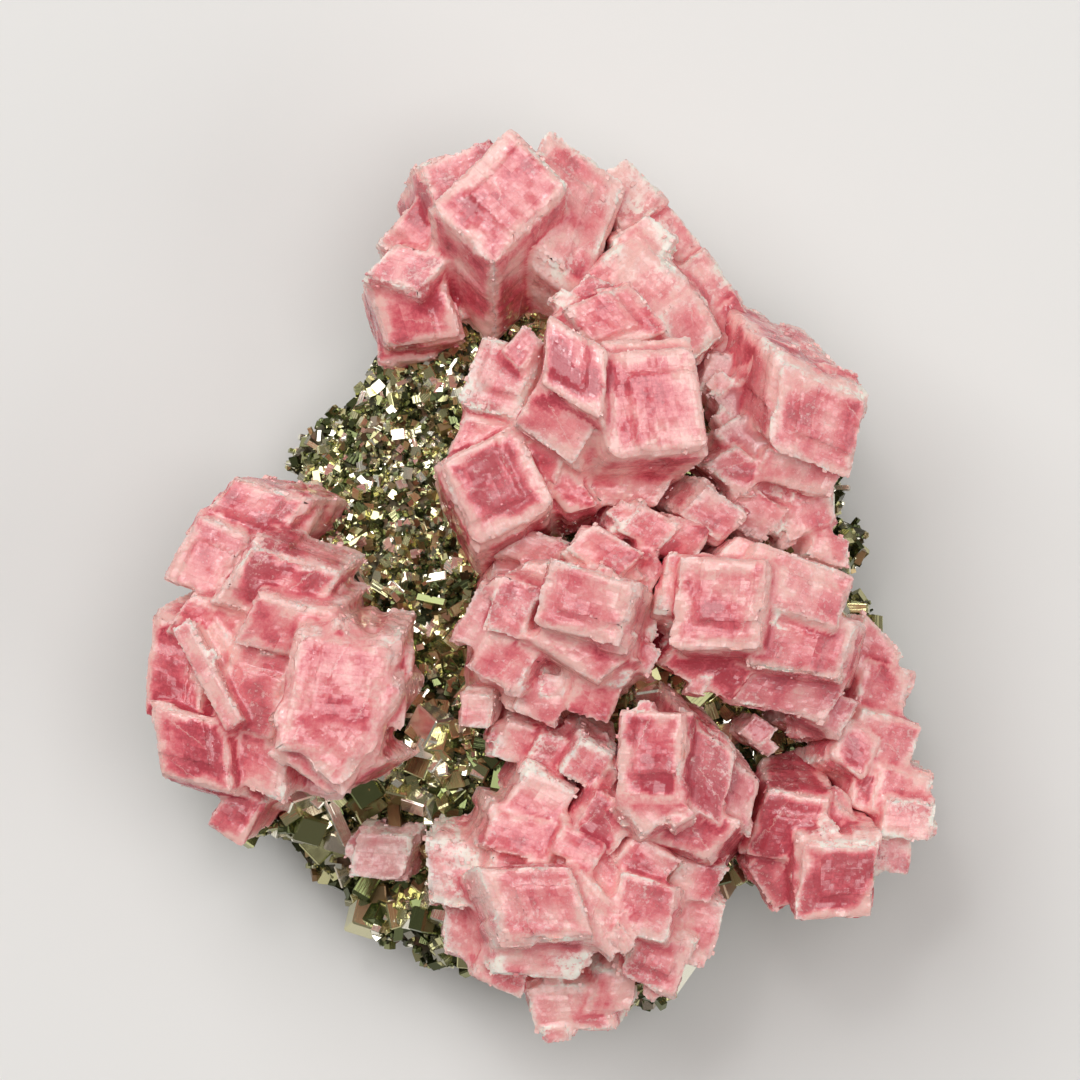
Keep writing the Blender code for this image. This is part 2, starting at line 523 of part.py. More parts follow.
def build():
    clear_scene()
    noise.seed_set(rock_seed)
    boxes = {}
    for name, rows in groups.items():
        whole = [rhomb(row) for row in rows]
        boxes[name] = whole + [step for k, box in enumerate(whole[:-1]) for step in steps_of(box, k)]
    done = []
    pieces = []
    for name, own in boxes.items():
        body = rhomb_object(name, own[0])
        combine(body, "UNION", [rhomb_object("rhomb", box) for box in own[1:]])
        cutters = [grown(box, gap) for box in done if any(touching(grown(box, gap), mine) for mine in own)]
        combine(body, "DIFFERENCE", [rhomb_object("neighbour", box) for box in cutters])
        combine(body, "DIFFERENCE", [rock_object("thick_rock", gap * 1.2)])
        tidy(body)
        pieces.append(body)
        done += own
        print(name, len(body.data.polygons), "triangles")
    rock = rock_object("pyrite_matrix", 0)
    combine(rock, "UNION", pyrite_cubes(rock, done))
    tidy(rock)
    print("pyrite_matrix", len(rock.data.polygons), "triangles")
    pieces.append(rock)
    centre_on_back(pieces)
    for obj in pieces:
        finish(obj)


def centre_on_back(pieces):
    """Moves everything so that the origin is below the middle of the bounding box."""
    points = [vert.co for obj in pieces for vert in obj.data.vertices]
    low = Vector([min(point[k] for point in points) for k in range(3)])
    high = Vector([max(point[k] for point in points) for k in range(3)])
    print("size in mm", [round(c / mm, 2) for c in high - low], "middle", (low + high) / 2 / mm)
    shift = Vector(((low.x + high.x) / 2, (low.y + high.y) / 2, low.z))
    for obj in pieces:
        obj.data.transform(Matrix.Translation(-shift))


build()
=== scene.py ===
# Rhodochrosite on pyrite, lying on its back on a pale table and seen from straight above.

import math
import random

import bpy
import numpy as np
from mathutils import Euler, Matrix, Vector
from mathutils.bvhtree import BVHTree
from numpy.linalg import inv, norm


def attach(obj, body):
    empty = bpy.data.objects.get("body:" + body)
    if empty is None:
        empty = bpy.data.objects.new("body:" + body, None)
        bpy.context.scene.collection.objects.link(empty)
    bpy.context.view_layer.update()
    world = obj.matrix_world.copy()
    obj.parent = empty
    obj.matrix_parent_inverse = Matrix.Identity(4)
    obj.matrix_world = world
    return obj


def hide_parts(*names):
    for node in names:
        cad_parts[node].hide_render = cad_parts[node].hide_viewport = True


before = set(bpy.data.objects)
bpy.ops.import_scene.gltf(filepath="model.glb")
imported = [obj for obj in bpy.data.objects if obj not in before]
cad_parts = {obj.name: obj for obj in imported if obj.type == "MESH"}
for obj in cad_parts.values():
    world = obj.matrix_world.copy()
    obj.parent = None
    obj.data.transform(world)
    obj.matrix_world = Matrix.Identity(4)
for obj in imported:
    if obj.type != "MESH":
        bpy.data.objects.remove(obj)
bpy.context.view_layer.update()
mm = 0.001
print("frame loaded")


# Small helpers

def selectOnly(*objects):
    bpy.ops.object.select_all(action="DESELECT")
    for obj in objects:
        obj.select_set(True)
    bpy.context.view_layer.objects.active = objects[0]


def newObject(name, data):
    obj = bpy.data.objects.new(name, data)
    bpy.context.scene.collection.objects.link(obj)
    return obj


def applyModifier(obj, kind, **settings):
    selectOnly(obj)
    modifier = obj.modifiers.new(kind.lower(), kind)
    for key, value in settings.items():
        setattr(modifier, key, value)
    bpy.ops.object.modifier_apply(modifier=modifier.name)


def pointsOf(obj):
    points = np.empty(len(obj.data.vertices) * 3, np.float32)
    obj.data.vertices.foreach_get("co", points)
    return points.reshape(-1, 3).astype(float)


def setPoints(obj, points):
    obj.data.vertices.foreach_set("co", points.astype(np.float32).ravel())
    obj.data.update()


def readNumber(obj, name):
    values = np.empty(len(obj.data.vertices), np.float32)
    obj.data.attributes[name].data.foreach_get("value", values)
    return values.astype(float)


def storeNumber(obj, name, values):
    attributes = obj.data.attributes
    layer = attributes.get(name) or attributes.new(name, "FLOAT", "POINT")
    layer.data.foreach_set("value", values.astype(np.float32))


def storeVector(obj, name, values):
    layer = obj.data.attributes.new(name, "FLOAT_VECTOR", "POINT")
    layer.data.foreach_set("vector", values.astype(np.float32).ravel())


def hashed(*cells):
    # A repeatable number from 0 to 1 for each cell of a grid
    total = np.zeros(np.shape(cells[0]))
    for cell, factor in zip(cells, (127.1, 311.7, 74.7, 19.19)):
        total = total + np.asarray(cell) * factor
    wild = np.sin(total) * 43758.5453
    return wild - np.floor(wild)


def smoothNoise(points, size, number):
    # Soft random hills from 0 to 1 over a grid of this size
    scaled = points / size
    corner = np.floor(scaled)
    t = scaled - corner
    t = t * t * (3 - 2 * t)
    total = np.zeros(len(points))
    for step in range(8):
        shift = np.array((step & 1, step >> 1 & 1, step >> 2))
        share = np.prod(np.where(shift, t, 1 - t), axis=1)
        total += share * hashed(*(corner + shift).T, number)
    return total


def softStep(x, low, high):
    t = np.clip((x - low) / (high - low), 0, 1)
    return t * t * (3 - 2 * t)


# Materials

def newMaterial(name):
    material = bpy.data.materials.new(name)
    material.use_nodes = True
    tree = material.node_tree
    return material, tree, tree.nodes["Principled BSDF"]


def feed(tree, made, inputs):
    # Links the inputs of a node to other nodes, or sets them
    for key, value in inputs.items():
        socket = made.inputs[key]
        if isinstance(value, bpy.types.NodeSocket):
            tree.links.new(value, socket)
        else:
            socket.default_value = (*value, 1) if socket.type == "RGBA" else value


def node(tree, kind, inputs, **settings):
    made = tree.nodes.new(kind)
    for key, value in settings.items():
        setattr(made, key, value)
    feed(tree, made, inputs)
    return made


def maths(tree, operation, first, second=0.0, clamp=False):
    return node(tree, "ShaderNodeMath", {0: first, 1: second}, operation=operation, use_clamp=clamp).outputs[0]


def times(tree, first, second):
    return maths(tree, "MULTIPLY", first, second)


def plus(tree, first, second, share):
    # The first, and a share of the second
    return maths(tree, "ADD", first, times(tree, second, share))


def vectorMaths(tree, operation, first, second=(0, 0, 0), output="Vector"):
    return node(tree, "ShaderNodeVectorMath", {0: first, 1: second}, operation=operation).outputs[output]


def ramp(tree, value, stops):
    made = node(tree, "ShaderNodeValToRGB", {"Fac": value})
    elements = made.color_ramp.elements
    while len(elements) < len(stops):
        elements.new(1.0)
    for element, (place, colour) in zip(elements, stops):
        element.position = place
        element.color = (*colour, 1)
    return made.outputs["Color"]


def grey(tree, value, dark, light):
    # 0 below dark, 1 above light
    return node(tree, "ShaderNodeMapRange", {"Value": value, "From Min": dark, "From Max": light}).outputs[0]


def mixed(tree, share, first, second):
    return node(tree, "ShaderNodeMix", {0: share, 6: first, 7: second}, data_type="RGBA").outputs[2]


def attribute(tree, name, output="Fac"):
    return node(tree, "ShaderNodeAttribute", {}, attribute_name=name).outputs[output]


def placeInMm(tree):
    coords = node(tree, "ShaderNodeTexCoord", {}).outputs["Object"]
    return vectorMaths(tree, "MULTIPLY", coords, (1000, 1000, 1000))


def cloud(tree, place, scale, detail, rough):
    inputs = {"Vector": place, "Scale": scale, "Detail": detail, "Roughness": rough}
    return node(tree, "ShaderNodeTexNoise", inputs).outputs["Fac"]


def bumped(tree, height, strength, depth):
    # A relief of this depth in mm
    inputs = {"Height": height, "Strength": strength, "Distance": depth * mm}
    return node(tree, "ShaderNodeBump", inputs).outputs[0]


def rhombTilt(tree, place, size):
    # Blocks with sides along the crystal's own edges, each with a slight tilt of its face
    centre = (0.5, 0.5, 0.5)
    scaled = vectorMaths(tree, "MULTIPLY", place, (1 / size, 0.8 / size, 1.15 / size))
    cell = vectorMaths(tree, "FLOOR", scaled)
    tint = node(tree, "ShaderNodeTexWhiteNoise", {"Vector": cell}, noise_dimensions="3D").outputs["Color"]
    inside = vectorMaths(tree, "SUBTRACT", vectorMaths(tree, "FRACTION", scaled), centre)
    lean = vectorMaths(tree, "SUBTRACT", tint, centre)
    return vectorMaths(tree, "DOT_PRODUCT", inside, lean, "Value")


crystalLook = {
    "white": (1.0, 0.74, 0.69),
    "cream": (0.94, 0.87, 0.77),
    "edge": (0.90, 0.52, 0.47),
    "milk": (0.90, 0.61, 0.55),
    "pale": (0.86, 0.365, 0.355),
    "pink": (0.80, 0.235, 0.25),
    "rose": (0.70, 0.11, 0.145),
    "deep": (0.48, 0.045, 0.072),
    "mauve": (0.42, 0.18, 0.20),
    "scatter": 0.28,
    "gritScatter": 0.05,
    "scatterRadius": (1.0, 0.38, 0.33),
    "scatterScale": 2.2,            # mm
    "blocks": (1.1, 3.3, 0.45),     # mm, sizes of the facets, the inner planes and the surface grains
    "cloudTone": 0.85,              # how far each of these changes the tone
    "facetTone": 0.19,
    "planeTone": 0.38,
    "mauveShare": 0.75,             # how much of each of these colours shows
    "milkShare": 0.35,
    "lineShare": 0.52,
    "lineWidth": 0.03,              # share of the way from one cleavage line to the next
    "leastRough": 0.05,
    "frostRough": 0.3,
    "cloudRough": 0.20,
    "relief": 0.12,                 # mm
    "refraction": 1.65,
    # Cleavage lines: their direction, the mm from one to the next, and the veins where they show
    "cleavage": (((1.0, 0.55, 0.3), 4.6, (0.48, 0.25)), ((-0.35, 1.0, 0.3), 5.3, (0.52, 0.75))),
}


def makeCrystalMaterial(name, scatter):
    look = crystalLook
    material, tree, shader = newMaterial(name)
    fine = cloud(tree, placeInMm(tree), 1.9, 2, 0.7)
    grain = attribute(tree, "grain", "Vector")
    shade, frost, mauve, veins, calm = (attribute(tree, key) for key in ("shade", "frost", "mauve", "veins", "calm"))
    facets, planes, grains = (times(tree, rhombTilt(tree, grain, size), calm) for size in look["blocks"])
    # From the pale frame of each face to its deeper inside, with painted shade in the creases between
    # crystals, as noted on the mesh, with crisp planes of other tones along the crystal's own directions
    depth = plus(tree, shade, maths(tree, "SUBTRACT", fine, 0.5), look["cloudTone"])
    depth = plus(tree, depth, facets, look["facetTone"])
    depth = plus(tree, depth, planes, look["planeTone"])
    tones = zip((0.0, 0.2, 0.45, 0.72, 1.0), ("edge", "pale", "pink", "rose", "deep"))
    body = ramp(tree, depth, [(place, look[tone]) for place, tone in tones])
    body = mixed(tree, times(tree, mauve, look["mauveShare"]), body, look["mauve"])
    # White bloom, grainy where it is thin; on faces turned one way it is partly painted light
    body = mixed(tree, times(tree, frost, look["milkShare"]), body, look["milk"])
    start = plus(tree, 0.68, frost, -0.38)
    dusty = grey(tree, maths(tree, "SUBTRACT", fine, start), 0.0, 0.14)
    whitish = maths(tree, "MULTIPLY", dusty, plus(tree, 0.15, frost, 0.8), clamp=True)
    body = mixed(tree, whitish, body, mixed(tree, grey(tree, frost, 0.7, 0.95), look["white"], look["cream"]))
    # Thin pale cleavage lines inside, along the crystal's own directions
    for direction, spacing, shown in look["cleavage"]:
        place = maths(tree, "DIVIDE", vectorMaths(tree, "DOT_PRODUCT", grain, direction, "Value"), spacing)
        place = maths(tree, "FRACT", plus(tree, place, fine, 0.25))
        off = maths(tree, "ABSOLUTE", maths(tree, "SUBTRACT", place, 0.5))
        line = times(tree, times(tree, grey(tree, off, look["lineWidth"], 0.0), grey(tree, veins, *shown)), calm)
        body = mixed(tree, times(tree, line, look["lineShare"]), body, look["milk"])
    rough = plus(tree, times(tree, frost, look["frostRough"]), fine, look["cloudRough"])
    feed(tree, shader, {
        "Base Color": body,
        "Roughness": maths(tree, "ADD", rough, look["leastRough"], clamp=True),
        "Normal": bumped(tree, plus(tree, times(tree, facets, 1.3), grains, 0.5), 1.0, look["relief"]),
        "IOR": look["refraction"],
        "Subsurface Weight": scatter,
        "Subsurface Radius": look["scatterRadius"],
        "Subsurface Scale": look["scatterScale"] * mm,
    })
    return material


pyriteLook = {
    # The darkest and the palest tones are painted shade and painted reflection; olive and brass are the pyrite and its
    # tarnish
    "paintedShadeDark": (0.05, 0.055, 0.025),
    "olive": (0.17, 0.20, 0.08),
    "brass": (0.62, 0.59, 0.31),
    "pale": (1.0, 0.97, 0.82),
    "rust": (0.32, 0.17, 0.085),
    "rock": (0.075, 0.07, 0.042),
    "rockRust": (0.16, 0.08, 0.045),
    "striations": (0.2, 4.5, 0.2),  # for each mm along a crystal's own edges
    "striationDepth": 0.06,         # mm
    "rockRelief": 0.5,              # mm
}


def makePyriteMaterial():
    look = pyriteLook
    material, tree, shader = newMaterial("pyriteBright")
    shade, rust = attribute(tree, "shade"), attribute(tree, "rust")
    tones = zip((0.0, 0.3, 0.5, 0.7, 0.85), ("paintedShadeDark", "olive", "brass", "brass", "pale"))
    body = ramp(tree, shade, [(place, look[tone]) for place, tone in tones])
    patchy = cloud(tree, placeInMm(tree), 0.9, 1, 0.55)
    rough = plus(tree, times(tree, patchy, 0.2), rust, 0.25)
    # Growth striations along one direction of each crystal
    lines = vectorMaths(tree, "MULTIPLY", attribute(tree, "grain", "Vector"), look["striations"])
    feed(tree, shader, {
        "Base Color": mixed(tree, times(tree, rust, 0.85), body, look["rust"]),
        "Roughness": maths(tree, "ADD", rough, 0.03),
        "Normal": bumped(tree, cloud(tree, lines, 1.0, 1, 0.5), 0.5, look["striationDepth"]),
        "Metallic": 0.88,
    })
    return material


def makeRockMaterial():
    look = pyriteLook
    material, tree, shader = newMaterial("pyriteRock")
    place = placeInMm(tree)
    rusty = grey(tree, cloud(tree, place, 0.25, 2, 0.6), 0.5, 0.66)
    feed(tree, shader, {
        "Base Color": mixed(tree, rusty, look["rock"], look["rockRust"]),
        "Roughness": 0.5,
        "Normal": bumped(tree, cloud(tree, place, 0.9, 1, 0.6), 0.8, look["rockRelief"]),
        "Metallic": 0.7,
    })
    return material


rhodochrosite = makeCrystalMaterial("rhodochrosite", crystalLook["scatter"])
rhodochrositeGrit = makeCrystalMaterial("rhodochrositeGrit", crystalLook["gritScatter"])
pyriteRock = makeRockMaterial()
pyriteBright = makePyriteMaterial()
print("materials made")


# How the photograph's readings become places on the specimen

reading = {
    "tableLevel": -7,            # heights in the tables count from 7 mm below the back
    "eyeHeight": 993,            # mm above the back
    "plane": 23,                 # level on which outlines were read
    "centring": (0.33, -0.105),  # mm from the tables' zero to the middle of the specimen
    "polarLean": 0.349,          # lean of the depth edges at a rhomb's blunt corner
    "rockMiddle": (2, -4),       # mm, the point that crystals of no given lean grow from
}


def rhombOf(row):
    # Middle and three edge vectors in mm of a crystal, from three corners of its front face
    corners = [np.array(row[k:k + 2], float) for k in (0, 2, 4)]
    height, slopeX, slopeY, depth, polar = row[6:11]
    centre = (corners[0] + corners[2]) / 2
    places = []
    for x, y in corners:
        z = height + slopeX * (x - centre[0]) + slopeY * (y - centre[1]) + reading["tableLevel"]
        share = (reading["eyeHeight"] - z) / (reading["eyeHeight"] - reading["plane"])
        places.append(np.array((x * share, y * share, z)))
    u = places[1] - places[0]
    v = places[2] - places[1]
    normal = np.cross(v, u)
    normal *= math.copysign(1, normal[2]) / norm(normal)
    outs = [out / norm(out) for out in (-(u + v), u - v, u + v, v - u)]
    middle = (places[0] + places[2]) / 2
    if polar < 0:
        inward = np.array((*reading["rockMiddle"], middle[2])) - middle
        polar = max(range(4), key=lambda k: float(np.dot(outs[k], inward)))
    lean = reading["polarLean"]
    w = depth * (lean * outs[polar] - math.sqrt(1 - lean ** 2) * normal)
    middle = middle + w / 2 - np.array((*reading["centring"], 0))
    return middle, u, v, w


# Seeds: what every pink or pyrite crystal is a copy of, modelled once

def makeSeed(bevel, solid="cube"):
    bpy.ops.object.select_all(action="DESELECT")
    if solid == "cube":
        bpy.ops.mesh.primitive_cube_add(size=1)
    else:
        bpy.ops.mesh.primitive_ico_sphere_add(subdivisions=1, radius=0.62)
    if bevel:
        bpy.ops.object.mode_set(mode="EDIT")
        bpy.ops.mesh.select_all(action="SELECT")
        bpy.ops.mesh.bevel(offset=bevel, segments=1)
        bpy.ops.object.mode_set(mode="OBJECT")
    return bpy.context.object


def seedMesh(bevel, solid="cube"):
    # The points and faces of a seed, for crystals that are copied by the thousand
    seed = makeSeed(bevel, solid)
    points = pointsOf(seed)
    faces = [tuple(face.vertices) for face in seed.data.polygons]
    bpy.data.objects.remove(seed, do_unlink=True)
    return points, faces


seedRhomb = makeSeed(0.012)
plainCube = seedMesh(0)


def placeRhomb(box):
    copy = newObject("rhomb", seedRhomb.data.copy())
    middle, u, v, w = box
    shape = np.identity(4)
    shape[:3] = np.array((u, v, w, middle)).T * mm
    copy.data.transform(Matrix(shape.tolist()))
    if np.dot(np.cross(u, v), w) < 0:
        copy.data.flip_normals()
    return copy


growth = {
    "voxel": 0.34,   # mm, fineness of a grown crystal group
    "largeEdge": 6.4,     # mm, shortest side of a crystal that has growth steps
    "terrace": 0.45,      # mm, height of the step on its front
    "terraceShift": (0.13, 0.10),   # from its middle, as shares of its sides
    "terraceSize": (0.68, 0.74),    # shares of its sides
    "ledgeShift": (0.20, 0.24),
    "ledgeSize": (0.68, 0.60),
    "ledgeDrop": 2.2,     # times the height of the step
    "corneredEdge": 3.5,  # mm, shortest side of a crystal that has blocks at its corners
    "cornered": 0.6,      # share of its corners that have one
    "cornerSizes": (0.25, 0.5),     # shares of its sides
    "cornerPokes": (0.2, 0.55),     # mm beyond its sides
    "cornerDrops": (0.25, 1.4),     # mm behind its front
    "layer": 1.6,         # mm, thickness of the layers that crystals grew in
    "layerStep": 0.24,
    "cells": (2.7, 1.05),           # mm, sizes of the plates on a face, and how high they stand
    "cellHeights": (0.18, 0.10),
    "slide": (3.1, 0.7),  # mm, width of a row of plates, and how far a row slides, in plates
    "toothed": (0.2, 1.9),          # mm from an edge, between which its teeth fade
    "bites": ((1.7, 1.5, 0.6), (0.7, 0.8, 0.4)),    # mm, sides of the wide and narrow bites, and their shares
    "biteDepth": 1.3,     # mm, where teeth is 1
    "wellFrame": 0.17,    # width of the frame around a well, as a share of the face
    "wellSway": (1.3, 0.25),        # mm, how often and how far that frame changes its width
    "wellSteps": ((1.0, 0.5), (2.1, 0.22)),         # frame widths from the edge, and share of the depth
    "wellSlope": 0.4,     # mm
    "wave": 0.30,
    "crumbSizes": (0.9, 2.8),       # mm
    "crumbStretch": (0.75, 1.3),
    "crumbDepths": (-0.42, 0.1),    # from its crystal's middle, as shares of its depth
    "crumbTurn": 0.16,    # radians
    "wedgedTurn": 0.2,
    "gritShare": 0.016,   # tiny rhombs for each point of a group's mesh
    "gritSizes": (0.15, 0.50),      # mm
    "gritRarity": 2.5,    # the more, the fewer large ones
    "gritRim": 0.3,       # mm from an edge, over which there is more grit
    "gritOut": (-0.45, 0.05),       # how far a rhomb's middle stands out, as a share of its size
    "gritStretch": (0.6, 1.3),
    "gritTurns": (0.05, 0.35),      # how far they are turned, most of them and the loose ones
    "looseGrit": 0.15,    # share of the loose ones
    "frame": 0.14,        # width of the pale frame of a face, as a share of the face
    "roundest": 2.6,      # mm, largest radius of a crystal's corners
    "edgeRound": 0.35,    # mm
    "paintedCreaseShade": 0.9,       # mm from a neighbour, within which a crystal is painted deeper pink as shade in the crease
    "healed": (0.0, 0.9),           # mm from a neighbour, between which two crystals flow together
    "healRounds": 7,
    "frostAndLightWay": (0.45, 0.85, 0.10),  # way that the whiter faces look, whose whiteness is partly frost and partly painted light
    "buried": 1.2,        # mm below other surfaces, from where faces are left away
    "smoothAngle": 50,    # degrees, sharper edges stay crisp
}

# What holds for every crystal of a group, unless the group or its looks say otherwise
usual = {
    "mauve": 0.0,
    "hopper": 0.12,       # depth of the well in a front face
    "teeth": 0.35,        # how ragged the edges are
    "round": 0.13,        # radius of a crystal's corners, as a share of its width
    "cloudy": 1.1,        # how far soft clouds change the tone
    "wedged": (),         # small crystals between large ones: x, y, z and size in mm
    "looks": {},          # single crystals of the group that look different
}


def stepsOf(box, number):
    # Growth steps of a large crystal: a raised terrace on its front and a block at one side
    middle, u, v, w = box
    if min(norm(u), norm(v)) < growth["largeEdge"]:
        return []
    back = w / norm(w) * growth["terrace"]
    sideU, sideV = ((1, 1), (-1, 1), (-1, -1), (1, -1))[number % 4]
    shiftU, shiftV = growth["terraceShift"]
    sizeU, sizeV = growth["terraceSize"]
    terrace = (middle + u * shiftU * sideU + v * shiftV * sideV - back, u * sizeU, v * sizeV, w)
    shiftU, shiftV = growth["ledgeShift"]
    sizeU, sizeV = growth["ledgeSize"]
    back *= growth["ledgeDrop"]
    ledge = (middle + u * shiftU * sideV - v * shiftV * sideU + back, u * sizeU, v * sizeV, w)
    return [terrace, ledge]


def cornerBlocks(box, rand):
    # Blocks grown in step with a crystal, poking out at its corners
    middle, u, v, w = box
    lengths = [norm(edge) for edge in (u, v, w)]
    if min(lengths[:2]) < growth["corneredEdge"]:
        return []
    blocks = []
    back = w / lengths[2]
    for cornerU, cornerV in ((1, 1), (-1, 1), (-1, -1), (1, -1)):
        if rand.random() < growth["cornered"]:
            size = rand.uniform(*growth["cornerSizes"])
            poke = rand.uniform(*growth["cornerPokes"])
            shift = u * cornerU * (0.5 - size / 2 + poke / lengths[0])
            shift = shift + v * cornerV * (0.5 - size / 2 + poke / lengths[1])
            blocks.append((middle + shift + back * rand.uniform(*growth["cornerDrops"]), u * size, v * size, w))
    return blocks


def slightTurn(rand, spread):
    return np.array(Euler([rand.gauss(0, spread) for _ in range(3)]).to_matrix())


def crumbBlocks(boxes, rand, count):
    # Small rhombs grown on the flanks and edges of the large ones, nearly in step with them
    blocks = []
    for _ in range(count):
        middle, u, v, w = rand.choice(boxes[:-1] or boxes)
        size = rand.uniform(*growth["crumbSizes"])
        side = rand.choice(((1, 0), (-1, 0), (0, 1), (0, -1)))
        along = rand.uniform(-0.5, 0.5)
        place = middle + (side[0] or along) * 0.5 * u + (side[1] or along) * 0.5 * v
        place = place + w * rand.uniform(*growth["crumbDepths"])
        turn = slightTurn(rand, growth["crumbTurn"])
        edges = [turn @ (edge / norm(edge)) * size * rand.uniform(*growth["crumbStretch"]) for edge in (u, v, w)]
        blocks.append((place, *edges))
    return blocks


def wedgedBlocks(boxes, rand, wedged):
    # Small crystals wedged in between large ones, in step with the nearest of them
    blocks = []
    for x, y, z, size in wedged:
        place = np.array((x, y, z + reading["tableLevel"])) - np.array((*reading["centring"], 0))
        _, u, v, w = min(boxes[:-1], key=lambda box: norm(box[0] - place))
        turn = slightTurn(rand, growth["wedgedTurn"])
        blocks.append((place, *(turn @ (edge / norm(edge)) * size for edge in (u, v, w))))
    return blocks


def nearestBlock(points, blocks):
    # For every point: how far off the nearest face is, its block and its way out
    best = np.full(len(points), 1e9)
    which = np.zeros(len(points), int)
    out = np.zeros((len(points), 3))
    rows = np.arange(len(points))
    for k, (middle, u, v, w) in enumerate(blocks):
        inverse = inv(np.array((u, v, w)).T)
        local = (points - middle) @ inverse.T
        lengths = 1 / norm(inverse, axis=1)
        depth = (np.abs(local) - 0.5) * lengths
        far = depth.argmax(axis=1)
        value = depth[rows, far]
        closer = value < best
        best[closer] = value[closer]
        which[closer] = k
        out[closer] = (inverse[far] * (lengths[far] * np.sign(local[rows, far]))[:, None])[closer]
    return best, which, out


def unevenness(face, a, b, inside, look, number, width):
    # How far a face stands out, in mm, at the place (a, b) on it
    side = face * 7 + number * 13
    edgy = 1 - softStep(inside, *growth["toothed"])
    every, far = growth["slide"]
    slide = hashed(np.floor(a / every), side) * far
    wide, narrow = growth["cells"]
    tall, low = growth["cellHeights"]
    move = tall * (hashed(np.floor(a / wide + slide), np.floor(b / wide), side) - 0.5) * (0.3 + 0.7 * edgy)
    fine = hashed(np.floor(a / narrow), np.floor(b / narrow + slide), side + 3) - 0.5
    move += low * fine * (0.1 + look["frost"] * 0.8)
    ragged = softStep(np.sin(a * 0.5 + side) + np.sin(b * 0.43 + side * 2), -0.6, 0.9)
    (wideA, wideB, wideShare), (narrowA, narrowB, narrowShare) = growth["bites"]
    bites = wideShare * hashed(np.floor(a / wideA + slide), np.floor(b / wideB), side + 5)
    bites += narrowShare * hashed(np.floor(a / narrowA), np.floor(b / narrowB + slide), side + 6)
    move -= look["teeth"] * growth["biteDepth"] * bites * edgy * (0.25 + 0.75 * ragged)
    if face == 4:
        every, far = growth["wellSway"]
        width = width + far * (hashed(np.floor((a + b) / every), side) - 0.5)
        for widths, depth in growth["wellSteps"]:
            start = width * widths
            move -= look["hopper"] * depth * softStep(inside, start, start + growth["wellSlope"])
    elif face < 4:
        layers = hashed(np.floor(b / growth["layer"] + 0.3 * slide), side)
        move += growth["layerStep"] * (layers - 0.5)
    return move


def rounded(size, half, radius):
    # Distances from a block's middle, pulled in to round the edges where its sides meet
    over = np.maximum(size - (half - radius), 0)
    reach = norm(over, axis=1)
    pull = np.where(reach > radius, radius / np.maximum(reach, 1e-9), 1)
    return np.where(over > 0, half - radius + over * pull[:, None], size)


tinting = {
    "hills": (3.1, 1.3),            # mm, sizes of the soft clouds in the tone
    "patches": (2.6, 0.9),          # mm, sizes of the patches of white bloom
    "veins": 4.3,                   # mm, size of the areas that show cleavage lines
    "bites": (0.95, 2.3),           # mm, sizes of the rhombic bites out of a pale frame
    "frameWidths": (0.35, 1.6),     # mm, narrowest and widest
    "planes": (3.7, 4.3),           # mm, sides of the planes where the tone changes
    "planeTone": 0.30,              # how far each of these changes the tone
    "ownTone": 0.16,
    # painted shade in the creases between crystals
    "paintedCreaseShadeTone": 0.2,
    "edgeBloom": 0.38,              # mm, how far bloom reaches in from an edge
    "apart": 17.3,                  # mm, so that no two crystals show the same pattern
    "facing": (0.25, 0.75),         # from not at all to wholly the way of the whiter faces, partly frost and partly painted light
}


